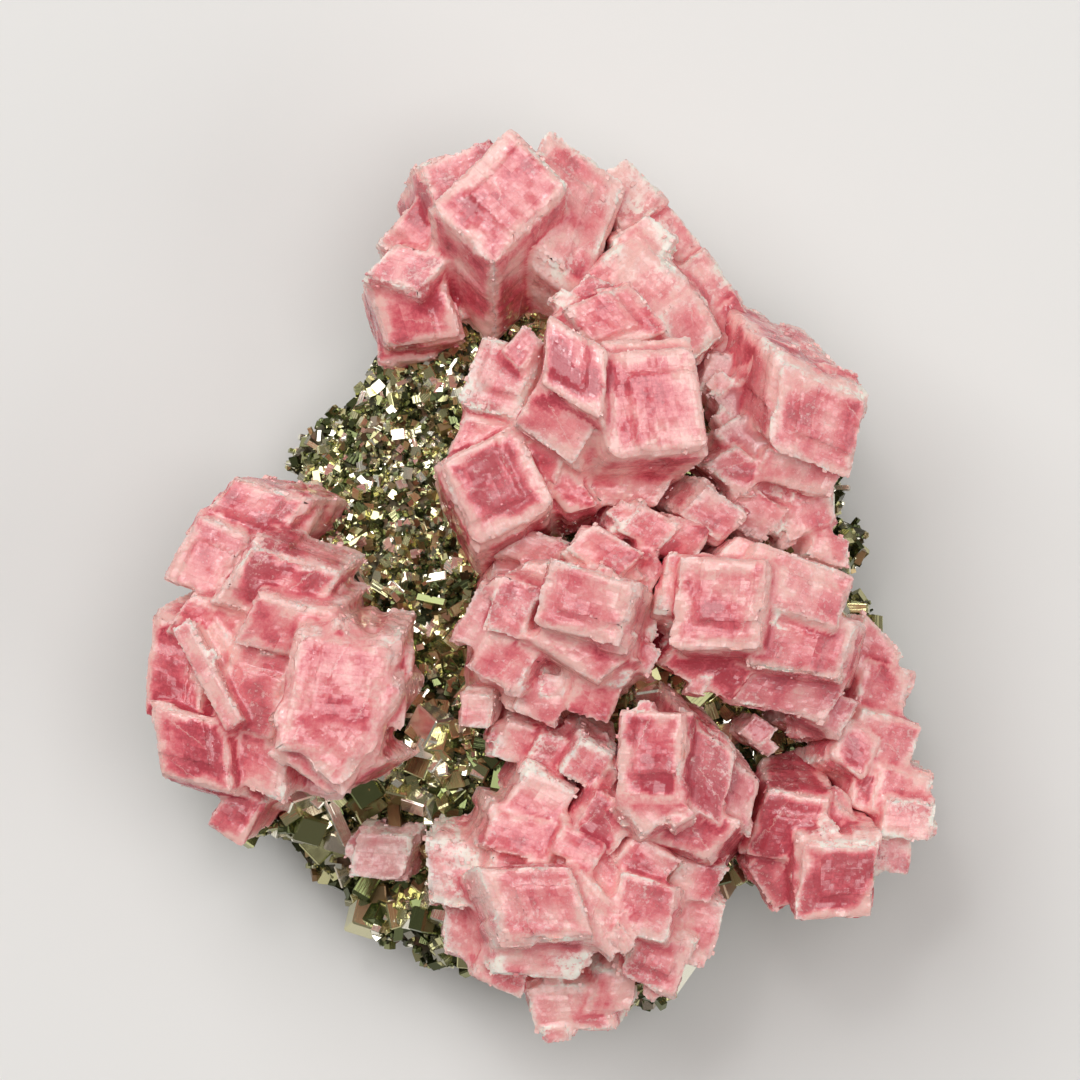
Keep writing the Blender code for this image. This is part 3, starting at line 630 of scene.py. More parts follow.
def growSurface(piece, blocks, owners, boxes, info):
    # Puts every point on the true faces of its block, gives those faces growth steps, and
    # notes for the material where in its crystal each point lies
    points = pointsOf(piece) / mm
    _, which, out = nearestBlock(points, blocks)
    count = len(points)
    near = readNumber(piece, "near")
    ownNumber = np.array(owners)
    for number in range(len(boxes)):
        others = np.flatnonzero((ownNumber[which] != number) & (ownNumber[which] < len(boxes)))
        mates = [block for block, owner in zip(blocks, owners) if owner == number]
        near[others] = np.minimum(near[others], nearestBlock(points[others], mates)[0])
    shade, frost, mauve, rim = (np.zeros(count) for _ in range(4))
    wide, narrow = tinting["hills"]
    hills = smoothNoise(points, wide, 1) + 0.5 * smoothNoise(points, narrow, 2) - 0.75
    wide, narrow = tinting["patches"]
    patches = smoothNoise(points, wide, 3) + 0.6 * smoothNoise(points, narrow, 4) - 0.3
    grain = np.zeros((count, 3))
    reach = growth["voxel"] * 0.6
    for k in sorted(set(which)):
        mine = which == k
        middle, u, v, w = blocks[k]
        number = owners[k]
        home = boxes[number] if number < len(boxes) else blocks[k]
        look = {**info, **info["looks"].get(number, {})}
        edges = np.array((u, v, w)).T
        inverse = inv(edges)
        heights = 1 / norm(inverse, axis=1)
        homeEdges = np.array(home[1:]).T
        homeInverse = inv(homeEdges)
        homeHeights = 1 / norm(homeInverse, axis=1)
        homeLengths = norm(homeEdges, axis=0)
        place = (points[mine] - middle) @ inverse.T
        homePlace = (points[mine] - home[0]) @ homeInverse.T
        span = np.abs(0.5 - np.abs(homePlace)) * homeHeights
        close = np.abs((np.abs(place) - 0.5) * heights) < reach
        size = np.abs(place) * heights
        push = np.zeros_like(size)
        width = growth["wellFrame"] * min(homeHeights[:2])
        for i, (first, second) in enumerate(((1, 2), (0, 2), (0, 1))):
            inside = np.minimum(span[:, first], span[:, second])
            for sign in (-1, 1):
                face = 2 * i + (sign > 0)
                on = close[:, i] & (np.sign(place[:, i]) == sign)
                if on.any():
                    a = homePlace[on, first] * homeLengths[first]
                    b = homePlace[on, second] * homeLengths[second]
                    push[on, i] = unevenness(face, a, b, inside[on], look, number, width)
                    size[on, i] = heights[i] / 2
        radius = min(look["round"] * min(heights[:2]), growth["roundest"])
        size[:, :2] = rounded(size[:, :2], heights[:2] / 2, radius)
        size = rounded(size, heights / 2, growth["edgeRound"]) + push
        points[mine] = (np.sign(place) * size / heights) @ edges.T + middle
        # Colour: a pale frame with rhombic bites, deeper inside, with planes where the tone changes
        inMine = homePlace * homeLengths
        narrow, wide = tinting["bites"]
        bites = hashed(*np.floor(inMine / narrow).T, number) * 0.4 - 0.45
        bites += hashed(*np.floor(inMine / wide).T, number) * 0.5
        rim[mine] = np.sort(span, axis=1)[:, 1]
        pale = np.clip(growth["frame"] * min(homeHeights[:2]), *tinting["frameWidths"])
        inner = softStep(rim[mine] + bites + hills[mine] * 1.3, 0.5 * pale, 1.3 * pale)
        planes = hashed(*np.floor(inMine[:, :2] / tinting["planes"]).T, number) - 0.5
        tone = look["tone"] + tinting["ownTone"] * (float(hashed(number * 1.0, len(boxes))) - 0.5)
        tone += 0.07 + look["cloudy"] * hills[mine] + tinting["planeTone"] * planes + 0.02 * rim[mine]
        shade[mine] = inner * tone
        frost[mine] = look["frost"]
        mauve[mine] = look["mauve"]
        grain[mine] = inMine + tinting["apart"] * (number + 1)
    setPoints(piece, points * mm)
    # Painted shade: deeper pink and less white bloom where a crystal meets a neighbour
    paintedCreaseShade = 1 - softStep(near, -0.1, growth["paintedCreaseShade"])
    shade += tinting["paintedCreaseShadeTone"] * paintedCreaseShade
    # Faces turned towards +y and a little +x get more white bloom: partly frost, partly painted light
    frostAndLitSide = softStep(out @ np.array(growth["frostAndLightWay"]), *tinting["facing"])
    bloomAndPaintedLight = frost * (0.25 + 1.1 * patches) + 0.45 * frostAndLitSide * patches
    bloomAndPaintedLight += (0.40 + 0.8 * frost) * np.exp(-rim / tinting["edgeBloom"]) * (0.1 + 1.6 * patches)
    bloomAndPaintedLight = np.clip(bloomAndPaintedLight, 0, 1) * (1 - 0.9 * paintedCreaseShade)
    notes = {"shade": np.clip(shade, 0, 1), "frost": bloomAndPaintedLight, "mauve": mauve, "rim": rim, "near": near,
             "veins": smoothNoise(points, tinting["veins"], 5)}
    for key, values in notes.items():
        storeNumber(piece, key, values)
    storeVector(piece, "grain", grain)
    storeCalm(piece, ownNumber[which])
    healCreases(piece, near)
    return which


def pairsOf(piece):
    # The two ends of every edge
    pairs = np.empty(len(piece.data.edges) * 2, np.int32)
    piece.data.edges.foreach_get("vertices", pairs)
    return pairs.reshape(-1, 2).T


def storeCalm(piece, own):
    # 0 along the seams between crystals, where the pattern of one can't run on into the next
    one, two = pairsOf(piece)
    seam = np.zeros(len(own), bool)
    differ = own[one] != own[two]
    seam[one[differ]] = seam[two[differ]] = True
    wider = seam.copy()
    wider[one[seam[two]]] = wider[two[seam[one]]] = True
    storeNumber(piece, "calm", 1.0 - wider)


def healCreases(piece, near):
    # Crystals that grew into each other meet softly
    points = pointsOf(piece)
    one, two = pairsOf(piece)
    share = 0.6 * (1 - softStep(near, *growth["healed"]))[:, None]
    size = len(points)
    mates = np.maximum(np.bincount(one, minlength=size) + np.bincount(two, minlength=size), 1)[:, None]
    for _ in range(growth["healRounds"]):
        total = [np.bincount(one, points[two, k], size) + np.bincount(two, points[one, k], size) for k in range(3)]
        points += (np.stack(total, 1) / mates - points) * share
    setPoints(piece, points)


def wave(piece):
    # A gentle wave, so that no face is dead flat
    for name, size, share in (("slowWave", 7.0, 1.0), ("quickWave", 1.6, 0.3)):
        texture = bpy.data.textures.get(name) or bpy.data.textures.new(name, "CLOUDS")
        texture.noise_scale = size * mm
        texture.noise_depth = 1
        applyModifier(piece, "DISPLACE", texture=texture, strength=growth["wave"] * share * mm, mid_level=0.5,
                      texture_coords="LOCAL", direction="NORMAL")


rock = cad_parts["pyrite_matrix"]
rockTree = BVHTree.FromPolygons([vert.co for vert in rock.data.vertices],
                                [face.vertices for face in rock.data.polygons])
allBoxes = {}


def belowRock(points):
    # Depth in mm below the rock's surface, less than zero outside it
    depths = np.zeros(len(points))
    for k, point in enumerate(points):
        place = Vector(point * mm)
        spot, normal, _, distance = rockTree.find_nearest(place)
        depths[k] = math.copysign(distance, (spot - place).dot(normal)) / mm
    return depths


def dropBuried(piece, name):
    # Leaves away faces deep inside the rock or inside another group, where nothing sees them
    points = pointsOf(piece) / mm
    near = np.full(len(points), 9.0)   # mm outside all that could hide a point
    for other, boxes in allBoxes.items():
        if other != name:
            near = np.minimum(near, nearestBlock(points, boxes)[0])
    left = np.flatnonzero(near > -growth["buried"])
    near[left] = np.minimum(near[left], -belowRock(points[left]))
    hidden = near < -growth["buried"]
    storeNumber(piece, "near", near)
    drop = [all(hidden[k] for k in face.vertices) for face in piece.data.polygons]
    selectOnly(piece)
    bpy.ops.object.mode_set(mode="EDIT")
    bpy.ops.mesh.select_all(action="DESELECT")
    bpy.ops.object.mode_set(mode="OBJECT")
    piece.data.polygons.foreach_set("select", drop)
    bpy.ops.object.mode_set(mode="EDIT")
    bpy.ops.mesh.select_mode(type="FACE")
    bpy.ops.mesh.delete(type="FACE")
    bpy.ops.object.mode_set(mode="OBJECT")


def turnsFor(rand, count, spread=None):
    # Rotation matrices from quaternions, near none where a spread is given
    q = rand.normal(size=(count, 4))
    if spread:
        q *= spread
        q[:, 0] = 1
    q /= norm(q, axis=1)[:, None]
    w, x, y, z = q.T
    return np.stack((
        np.stack((1 - 2 * (y * y + z * z), 2 * (x * y - z * w), 2 * (x * z + y * w)), 1),
        np.stack((2 * (x * y + z * w), 1 - 2 * (x * x + z * z), 2 * (y * z - x * w)), 1),
        np.stack((2 * (x * z - y * w), 2 * (y * z + x * w), 1 - 2 * (x * x + y * y)), 1),
    ), 1)


def joinedMesh(name, seedPoints, seedFaces, edges, places):
    # One mesh of many copies of a seed, each with its own three edge vectors and place, in mm
    points = np.einsum("nij,kj->nki", edges, seedPoints) + places[:, None, :]
    size = len(seedPoints)
    faces = [tuple(int(v) + k * size for v in face) for k in range(len(places)) for face in seedFaces]
    mesh = bpy.data.meshes.new(name)
    mesh.from_pydata((points.reshape(-1, 3) * mm).tolist(), [], faces)
    return newObject(name, mesh)


def addGrit(piece, blocks, which, info):
    # Tiny rhombs along the edges and on the frosted faces, most of them nearly in step with their crystal
    rand = np.random.default_rng(info["seed"])
    points = pointsOf(piece) / mm
    normals = np.empty(len(points) * 3, np.float32)
    piece.data.vertices.foreach_get("normal", normals)
    normals = normals.reshape(-1, 3).astype(float)
    rim, shade, frost, mauve, near = (readNumber(piece, key) for key in ("rim", "shade", "frost", "mauve", "near"))
    weight = 0.002 + frost ** 3 + 0.3 * np.exp(-rim / growth["gritRim"]) * (0.03 + frost)
    weight *= (normals[:, 2] > -0.5) & (near > -0.3)
    count = int(len(points) * growth["gritShare"])
    picks = rand.choice(len(points), size=count, p=weight / weight.sum())
    axes = []
    for block in blocks:
        edges = np.array(block[1:]).T
        axes.append(edges / norm(edges, axis=0) * (-1 if np.linalg.det(edges) < 0 else 1))
    axes = np.array(axes)[which[picks]]
    small, large = growth["gritSizes"]
    size = small + (large - small) * rand.random(count) ** growth["gritRarity"]
    slight, wild = growth["gritTurns"]
    turns = turnsFor(rand, count, slight)
    loose = rand.random(count) < growth["looseGrit"]
    turns[loose] = turnsFor(rand, int(loose.sum()), wild)
    lengths = size[:, None] * rand.uniform(*growth["gritStretch"], (count, 3))
    edges = np.einsum("nij,njk->nik", turns, axes) * lengths[:, None, :]
    places = points[picks] + normals[picks] * (size * rand.uniform(*growth["gritOut"], count))[:, None]
    grit = joinedMesh("grit", *plainCube, edges, places)
    each = len(plainCube[0])
    paler = rand.uniform(-0.1, 0.15, count)
    notes = {"shade": shade[picks] * 0.6, "frost": np.clip(frost[picks] * 0.6 + paler, 0, 1),
             "mauve": mauve[picks], "veins": np.zeros(count), "calm": np.ones(count)}
    for key, values in notes.items():
        storeNumber(grit, key, np.repeat(values, each))
    apart = np.repeat(rand.uniform(0, 60, count), each)[:, None]
    storeVector(grit, "grain", np.einsum("nij,kj->nki", edges, plainCube[0]).reshape(-1, 3) + apart)
    piece.data.materials.clear()
    piece.data.materials.append(rhodochrosite)
    grit.data.materials.append(rhodochrositeGrit)
    selectOnly(piece, grit)
    bpy.ops.object.join()


def makeGroup(name, info):
    info = {**usual, **info}
    rand = random.Random(info["seed"])
    boxes = allBoxes[name]
    blocks = list(boxes)
    owners = list(range(len(boxes)))
    for k, box in enumerate(boxes[:-1] or boxes):
        extra = stepsOf(box, k) + cornerBlocks(box, rand)
        blocks += extra
        owners += [k] * len(extra)
    crumbs = crumbBlocks(boxes, rand, info["crumbs"]) + wedgedBlocks(boxes, rand, info["wedged"])
    blocks += crumbs
    owners += [len(boxes) + k for k in range(len(crumbs))]
    copies = [placeRhomb(block) for block in blocks]
    selectOnly(*copies)
    bpy.ops.object.join()
    piece = bpy.context.object
    piece.name = name
    applyModifier(piece, "REMESH", mode="VOXEL", voxel_size=growth["voxel"] * mm, adaptivity=0)
    dropBuried(piece, name)
    which = growSurface(piece, blocks, owners, boxes, info)
    wave(piece)
    selectOnly(piece)
    bpy.ops.object.shade_smooth_by_angle(angle=math.radians(growth["smoothAngle"]))
    addGrit(piece, blocks, which, info)
    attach(piece, "root")
    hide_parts(info["node"])
    print(name, len(piece.data.polygons), "faces")


# The crystal groups. Each row holds three corners of a crystal's front face in order (x, y of each),
# the height of its middle, its slopes along x and y, its depth and the corner it leans from.
# The last crystal of a group lies hidden and holds the others together. tone goes from 0, pale, to
# 1, deep, and frost from 0, clear, to 1, white.

twinCrystals = {
    "node": "twin_crystals", "seed": 3, "crumbs": 20, "tone": 0.42, "frost": 0.30,
    "wedged": ((1.0, 13.4, 42, 5.0),),
    "looks": {
        0: {"tone": 0.38, "frost": 0.12, "teeth": 0.1, "round": 0.17},
        1: {"tone": 0.25, "frost": 0.35, "teeth": 0.2},
        2: {"tone": 0.70, "frost": 0.10, "hopper": 0.1, "teeth": 0.1},
        3: {"tone": 0.25, "frost": 0.25, "teeth": 0.15},
        4: {"tone": 0.35, "frost": 0.65},
        6: {"tone": 1.0, "frost": 0.25, "hopper": 0.2},
    },
    "rows": (
        (5.8, 25.0, 17.1, 25.8, 18.9, 14.2, 49, -0.12, 0.0, 15, 3),
        (7.6, 26.3, 16.8, 27.0, 17.6, 23.5, 46.5, -0.1, -0.3, 11, -1),
        (0.8, 29.6, 7.6, 25.6, 6.9, 17.6, 50.4, 0.12, -0.15, 14, -1),
        (-2.8, 17.4, 0.4, 22.8, 7.0, 18.0, 48.8, 0.12, 0.2, 14, 3),
        (-9.2, 19.5, -6.3, 27.2, 0.5, 25.2, 44, 0.15, -0.05, 13, -1),
        (-4.5, 25.0, -1.6, 28.3, 1.0, 26.0, 45, 0.0, -0.1, 9, -1),
        (-11.2, 13.0, -2.5, 17.5, 1.8, 8.2, 45, 0.15, 0.05, 14, 3),
        (-10.0, 14.5, -8.0, 18.3, -1.0, 17.0, 43, 0.1, -0.1, 10, -1),
        (0.0, 11.5, 3.5, 12.6, 6.8, 8.3, 43, 0.0, 0.1, 10, -1),
        (3.5, 8.2, 6.0, 12.4, 15.5, 12.0, 41, 0.0, 0.1, 11, -1),
        (-8.0, 8.0, -6.0, 24.0, 16.0, 24.0, 38, 0.0, 0.0, 8, -1),
    ),
}

heartCrystals = {
    "node": "heart_crystals", "seed": 4, "crumbs": 24, "tone": 0.35, "frost": 0.35,
    "wedged": ((14.6, 4.6, 40, 5.0),),
    "looks": {
        0: {"tone": 0.10, "frost": 0.25, "hopper": 0.3},
        1: {"tone": 0.30, "frost": 0.15},
        2: {"tone": 0.25, "frost": 0.35, "mauve": 0.15},
        5: {"tone": 0.60, "frost": 0.10},
    },
    "rows": (
        (-0.8, -4.8, 1.2, 2.5, 11.0, -0.3, 50, 0.0, 0.1, 14, 3),
        (-1.5, -6.5, 2.5, -3.5, 10.5, -8.5, 46.5, 0.0, 0.12, 12, 3),
        (-10.2, -6.6, -6.9, -0.4, -2.2, -2.4, 44, 0.15, 0.0, 12, -1),
        (-6.6, -5.5, -4.2, 0.8, 0.4, -0.6, 46.5, 0.1, 0.0, 10, -1),
        (-8.2, -9.8, -5.5, -5.0, 0.0, -8.0, 44.5, 0.1, 0.1, 11, -1),
        (2.8, -14.6, 4.4, -10.4, 9.4, -12.0, 43, 0.0, 0.2, 10, -1),
        (9.6, -8.6, 11.2, -5.8, 13.8, -8.0, 43, -0.1, 0.0, 9, -1),
        (2.6, 3.4, 6.2, 6.6, 12.0, 3.0, 46, 0.0, 0.1, 11, -1),
        (8.6, 5.6, 11.5, 8.6, 16.0, 6.0, 43, 0.0, 0.1, 10, -1),
        (-4.8, 3.0, -1.5, 6.0, 4.0, 4.0, 41, 0.0, 0.1, 10, -1),
        (9.5, 0.5, 11.5, 4.0, 14.3, 1.5, 43, 0.0, 0.0, 9, -1),
        (10.3, -6.0, 11.0, -1.5, 13.8, -2.0, 42, 0.0, 0.0, 9, -1),
        (-3.0, -14.5, -1.0, -11.0, 4.0, -13.0, 42, 0.0, 0.1, 9, -1),
        (-7.0, -12.0, -5.0, 3.0, 12.0, 5.0, 38, 0.0, 0.0, 8, -1),
    ),
}

bulkCrystals = {
    "node": "bulk_crystals", "seed": 5, "crumbs": 20, "tone": 0.35, "frost": 0.35,
    "looks": {
        0: {"tone": 0.60, "frost": 0.2, "hopper": 0.3},
        1: {"tone": 0.26, "frost": 0.40},
        2: {"tone": 0.36, "frost": 0.40},
        3: {"tone": 0.55, "frost": 0.3, "mauve": 0.25},
        4: {"tone": 0.65, "frost": 0.1},
        5: {"tone": 0.60, "frost": 0.3, "mauve": 0.4},
    },
    "rows": (
        (14.2, -7.6, 15.6, 2.6, 25.8, 2.4, 46, 0.0, 0.05, 14, 3),
        (22.0, -2.0, 24.0, 4.4, 35.0, 0.4, 44, -0.2, 0.05, 16, -1),
        (22.5, -9.5, 24.5, -3.0, 35.2, -4.5, 42.5, -0.15, 0.1, 17, 3),
        (21.0, -13.5, 24.0, -9.0, 34.5, -11.5, 38.5, -0.05, 0.15, 12, -1),
        (13.0, -9.5, 16.0, -6.0, 24.0, -10.0, 40, 0.0, 0.2, 11, -1),
        (28.5, -15.5, 31.0, -11.5, 35.5, -13.5, 37, -0.1, 0.1, 14, -1),
        (12.8, -3.5, 14.2, 3.2, 19.0, 2.6, 44, 0.05, 0.0, 12, -1),
        (18.5, 1.0, 22.0, 5.2, 27.0, 3.2, 43.5, 0.0, 0.0, 11, -1),
        (14.0, -9.0, 15.0, 1.0, 33.0, -1.0, 35, 0.0, 0.0, 8, -1),
    ),
}

crownCrystals = {
    "node": "crown_crystals", "seed": 6, "crumbs": 16, "tone": 0.40, "frost": 0.35,
    "looks": {
        0: {"tone": 0.60, "frost": 0.22, "hopper": 0.15},
        1: {"tone": 0.14, "frost": 0.48, "hopper": 0.2},
        2: {"tone": 0.72, "frost": 0.35},
        3: {"tone": 0.55, "frost": 0.40},
        4: {"tone": 0.60, "frost": 0.40},
        5: {"tone": 0.55, "frost": 0.20},
    },
    "rows": (
        (-11.9, 41.2, -3.2, 49.9, 3.6, 43.3, 42, 0.05, -0.25, 16, 3),
        (1.0, 50.0, 9.6, 43.6, 5.0, 31.5, 38, -0.3, -0.1, 17, 2),
        (-13.4, 45.8, -5.0, 48.9, -3.0, 44.0, 38, 0.05, -0.1, 12, -1),
        (-18.2, 37.4, -13.0, 42.6, -7.5, 38.5, 35, 0.2, -0.1, 14, -1),
        (-19.3, 33.5, -15.5, 37.4, -9.5, 35.5, 37, 0.1, -0.2, 15, -1),
        (-19.2, 33.0, -10.5, 34.5, -8.3, 26.8, 35, 0.2, 0.15, 17, 3),
        (-18.3, 28.0, -12.0, 28.5, -11.5, 24.3, 30, 0.1, 0.1, 13, -1),
        (-14.0, 30.0, -13.0, 40.5, 3.0, 42.0, 31, 0.0, 0.0, 8, -1),
    ),
}

leftRose = {
    "node": "left_rose", "seed": 7, "crumbs": 24, "tone": 0.45, "frost": 0.30, "teeth": 0.3,
    "wedged": ((-34.6, -8.4, 38, 5.0),),
    "looks": {
        0: {"tone": 0.26, "frost": 0.25, "hopper": 0.10, "teeth": 0.5, "round": 0.22, "cloudy": 0.6},
        1: {"tone": 0.60, "frost": 0.15},
        3: {"tone": 0.86, "frost": 0.25},
        4: {"tone": 0.76, "frost": 0.15},
        5: {"tone": 0.30, "frost": 0.25},
        6: {"tone": 0.75, "frost": 0.15},
        7: {"tone": 1.0, "frost": 0.15},
        11: {"tone": 0.56, "frost": 0.30},
        15: {"tone": 0.26, "frost": 0.25, "hopper": 0.0, "teeth": 0.5, "round": 0.22, "cloudy": 0.6},
    },
    "rows": (
        (-29.0, -18.9, -26.5, -5.6, -15.4, -6.6, 46, -0.15, 0.0, 12, -1),
        (-29.5, -19.0, -24.0, -15.0, -17.5, -20.0, 44, 0.0, 0.1, 10, -1),
        (-19.5, -14.5, -18.5, -5.5, -13.9, -8.0, 43, -0.25, 0.0, 10, -1),
        (-36.0, -2.5, -31.5, 4.0, -21.5, 0.8, 42, -0.05, 0.15, 9, -1),
        (-41.6, -6.0, -38.5, -1.5, -31.0, -3.5, 40, 0.15, 0.1, 13, -1),
        (-40.6, -5.6, -38.6, -4.0, -32.6, -15.4, 43, 0.1, 0.1, 10, -1),
        (-43.4, -15.0, -42.6, -3.5, -36.5, -6.0, 38.5, 0.35, 0.0, 18, -1),
        (-41.6, -21.5, -42.5, -13.5, -34.6, -15.5, 41, 0.2, 0.1, 17, 3),
        (-36.7, -27.0, -34.0, -22.0, -30.2, -24.6, 36, 0.0, 0.1, 13, -1),
        (-36.0, -16.0, -33.5, -6.0, -26.5, -8.0, 41, 0.1, 0.1, 11, -1),
        (-34.0, -22.0, -33.0, -16.0, -27.5, -18.5, 40, 0.05, 0.1, 10, -1),
        (-37.6, 6.6, -33.5, 11.7, -25.2, 8.8, 36, 0.05, -0.1, 15, -1),
        (-32.0, 6.0, -28.5, 10.4, -23.8, 7.4, 34, 0.0, 0.0, 13, -1),
        (-41.6, 0.0, -37.6, 7.4, -31.5, 5.0, 37, 0.15, -0.1, 16, -1),
        (-34.0, -7.0, -31.0, -1.5, -22.5, -3.5, 43.5, 0.0, 0.2, 10, -1),
        (-22.3, -4.1, -14.1, -11.8, -21.9, -23.5, 45.8, -0.15, 0.0, 12, -1),
        (-38.0, -20.0, -37.0, 4.0, -20.0, -1.0, 34, 0.0, 0.0, 9, -1),
    ),
}

lowerCrystals = {
    "node": "lower_crystals", "seed": 8, "crumbs": 22, "tone": 0.60, "frost": 0.35,
    "looks": {
        0: {"tone": 0.88, "frost": 0.2, "hopper": 0.2},
        1: {"tone": 0.55, "frost": 0.40},
        3: {"mauve": 0.25},
        4: {"tone": 0.62, "frost": 0.2},
    },
    "rows": (
        (8.2, -24.6, 9.0, -14.2, 16.4, -14.2, 46, 0.05, 0.05, 13, 3),
        (8.8, -24.5, 14.5, -21.5, 17.2, -25.2, 45.5, 0.0, 0.1, 12, 3),
        (15.0, -24.0, 16.8, -15.5, 22.0, -19.0, 43, -0.2, 0.0, 13, -1),
        (18.5, -25.0, 19.8, -18.6, 24.6, -21.8, 40, -0.2, 0.05, 12, -1),
        (12.0, -28.5, 16.0, -24.0, 22.5, -26.5, 42, 0.0, 0.15, 12, 3),
        (2.0, -21.5, 4.5, -17.4, 8.6, -19.5, 41, 0.05, 0.1, 10, -1),
        (-2.0, -20.5, 0.5, -16.6, 5.0, -18.4, 39, 0.05, 0.1, 9, -1),
        (-5.5, -19.5, -3.5, -15.2, 0.5, -16.4, 38, 0.1, 0.1, 9, -1),
        (3.2, -27.5, 6.5, -22.8, 11.2, -26.0, 42, 0.0, 0.1, 11, -1),
        (0.0, -26.0, 2.0, -17.5, 21.0, -19.5, 35, 0.0, 0.0, 8, -1),
    ),
}

footCrystals = {
    "node": "foot_crystals", "seed": 9, "crumbs": 28, "tone": 0.38, "frost": 0.40,
    "wedged": ((-3.4, -30.6, 37, 5.5), (2.2, -31.0, 37.5, 5.0), (7.4, -32.2, 38, 5.5)),
    "looks": {
        0: {"tone": 0.38, "frost": 0.40, "hopper": 0.3},
        2: {"tone": 0.15, "frost": 0.85, "teeth": 0.9},
        3: {"tone": 0.30, "frost": 0.5},
        7: {"tone": 0.30, "frost": 0.7},
    },
    "rows": (
        (-6.8, -31.6, 3.6, -31.4, 6.6, -39.6, 44, 0.0, 0.1, 13, 3),
        (2.4, -36.8, 4.4, -31.6, 10.2, -36.8, 42, -0.1, 0.1, 12, -1),
        (-12.4, -36.0, -12.9, -28.0, -6.6, -28.8, 37, 0.1, 0.0, 16, -1),
        (-10.8, -40.5, -10.6, -34.0, -5.0, -36.5, 34, 0.15, 0.1, 17, 3),
        (-6.4, -29.5, -4.4, -25.0, 3.0, -27.0, 41, 0.0, -0.1, 10, -1),
        (-4.0, -25.0, -1.0, -20.6, 4.5, -23.5, 40.5, 0.0, 0.0, 10, -1),
        (1.0, -30.0, 3.0, -26.5, 8.0, -29.0, 42, 0.0, 0.0, 10, -1),
        (-5.0, -43.5, -3.6, -38.8, 6.0, -39.5, 40, 0.0, 0.25, 12, -1),
        (-7.4, -44.0, -6.0, -40.0, -0.5, -42.6, 36, 0.05, 0.2, 15, -1),
        (-0.4, -50.0, -1.5, -45.0, 7.0, -44.6, 34, 0.0, 0.15, 16, -1),
        (5.0, -48.0, 6.5, -43.0, 11.5, -42.6, 34.5, -0.1, 0.15, 15, -1),
        (9.0, -43.5, 11.5, -37.0, 17.5, -39.8, 38, -0.1, 0.1, 17, -1),
        (13.5, -40.5, 15.5, -34.0, 21.0, -35.6, 36.5, -0.15, 0.1, 16, -1),
        (13.5, -35.0, 16.0, -30.5, 21.4, -31.5, 38, -0.15, 0.1, 15, -1),
        (7.5, -38.0, 9.0, -31.8, 15.5, -34.0, 41.5, -0.05, 0.1, 12, 3),
        (8.0, -31.0, 11.0, -27.5, 16.0, -31.0, 41, -0.05, 0.1, 10, -1),
        (-9.0, -42.0, -8.0, -28.0, 17.0, -31.0, 32, 0.0, 0.0, 8, -1),
    ),
}

shoulderCrystals = {
    "node": "shoulder_crystals", "seed": 10, "crumbs": 24, "tone": 0.38, "frost": 0.35, "mauve": 0.1,
    "looks": {
        0: {"tone": 0.62, "frost": 0.35, "mauve": 0.0, "round": 0.17},
        2: {"tone": 0.40, "frost": 0.65, "mauve": 0.0},
        3: {"tone": 0.35, "frost": 0.80, "mauve": 0.0},
        4: {"mauve": 0.45},
        5: {"mauve": 0.6},
        6: {"mauve": 0.45},
    },
    "rows": (
        (25.2, 14.5, 26.8, 24.2, 36.2, 20.2, 42, -0.2, 0.1, 18, 1),
        (25.3, 14.6, 34.0, 12.6, 32.3, 9.0, 38.5, -0.1, 0.2, 15, -1),
        (22.6, 22.0, 24.6, 27.3, 29.0, 25.8, 38, 0.0, 0.0, 11, -1),
        (31.0, 24.6, 35.2, 23.0, 36.9, 18.5, 38, -0.3, 0.0, 16, -1),
        (17.5, 20.5, 19.5, 25.5, 24.5, 23.5, 34, -0.1, 0.0, 9, -1),
        (18.5, 20.5, 22.0, 23.0, 25.5, 19.0, 36, -0.1, 0.0, 10, -1),
        (19.0, 16.5, 22.5, 18.5, 25.5, 14.8, 38, -0.1, 0.0, 10, -1),
        (18.0, 12.6, 22.0, 15.0, 26.3, 11.6, 39, -0.1, 0.1, 10, -1),
        (15.4, 7.5, 18.6, 10.8, 23.6, 7.2, 42, -0.1, 0.1, 11, -1),
        (26.4, 8.4, 32.0, 10.6, 33.0, 6.4, 35, -0.2, 0.0, 15, -1),
        (29.6, 2.6, 30.2, 6.0, 34.6, 4.5, 34, -0.2, 0.0, 15, -1),
        (19.5, 7.0, 23.0, 10.8, 28.0, 7.5, 37, -0.1, 0.1, 11, -1),
        (18.0, 7.0, 20.0, 24.0, 34.0, 20.0, 31, 0.0, 0.0, 8, -1),
    ),
}

lowRightCrystals = {
    "node": "low_right_crystals", "seed": 11, "crumbs": 16, "tone": 0.50, "frost": 0.35, "hopper": 0.1,
    "looks": {
        0: {"tone": 0.95, "frost": 0.2},
        1: {"tone": 1.0, "frost": 0.15},
    },
    "rows": (
        (28.2, -37.6, 29.0, -28.8, 37.6, -28.6, 39, 0.0, 0.1, 18, 1),
        (22.4, -30.4, 25.0, -23.0, 32.4, -24.2, 36.5, 0.1, 0.1, 16, -1),
        (22.6, -31.5, 26.0, -29.0, 29.4, -34.5, 35, 0.2, 0.1, 15, -1),
        (29.5, -28.5, 31.0, -23.2, 36.4, -27.0, 36, -0.1, 0.0, 15, -1),
        (25.0, -35.5, 25.5, -26.0, 34.5, -27.0, 29, 0.0, 0.0, 8, -1),
    ),
}

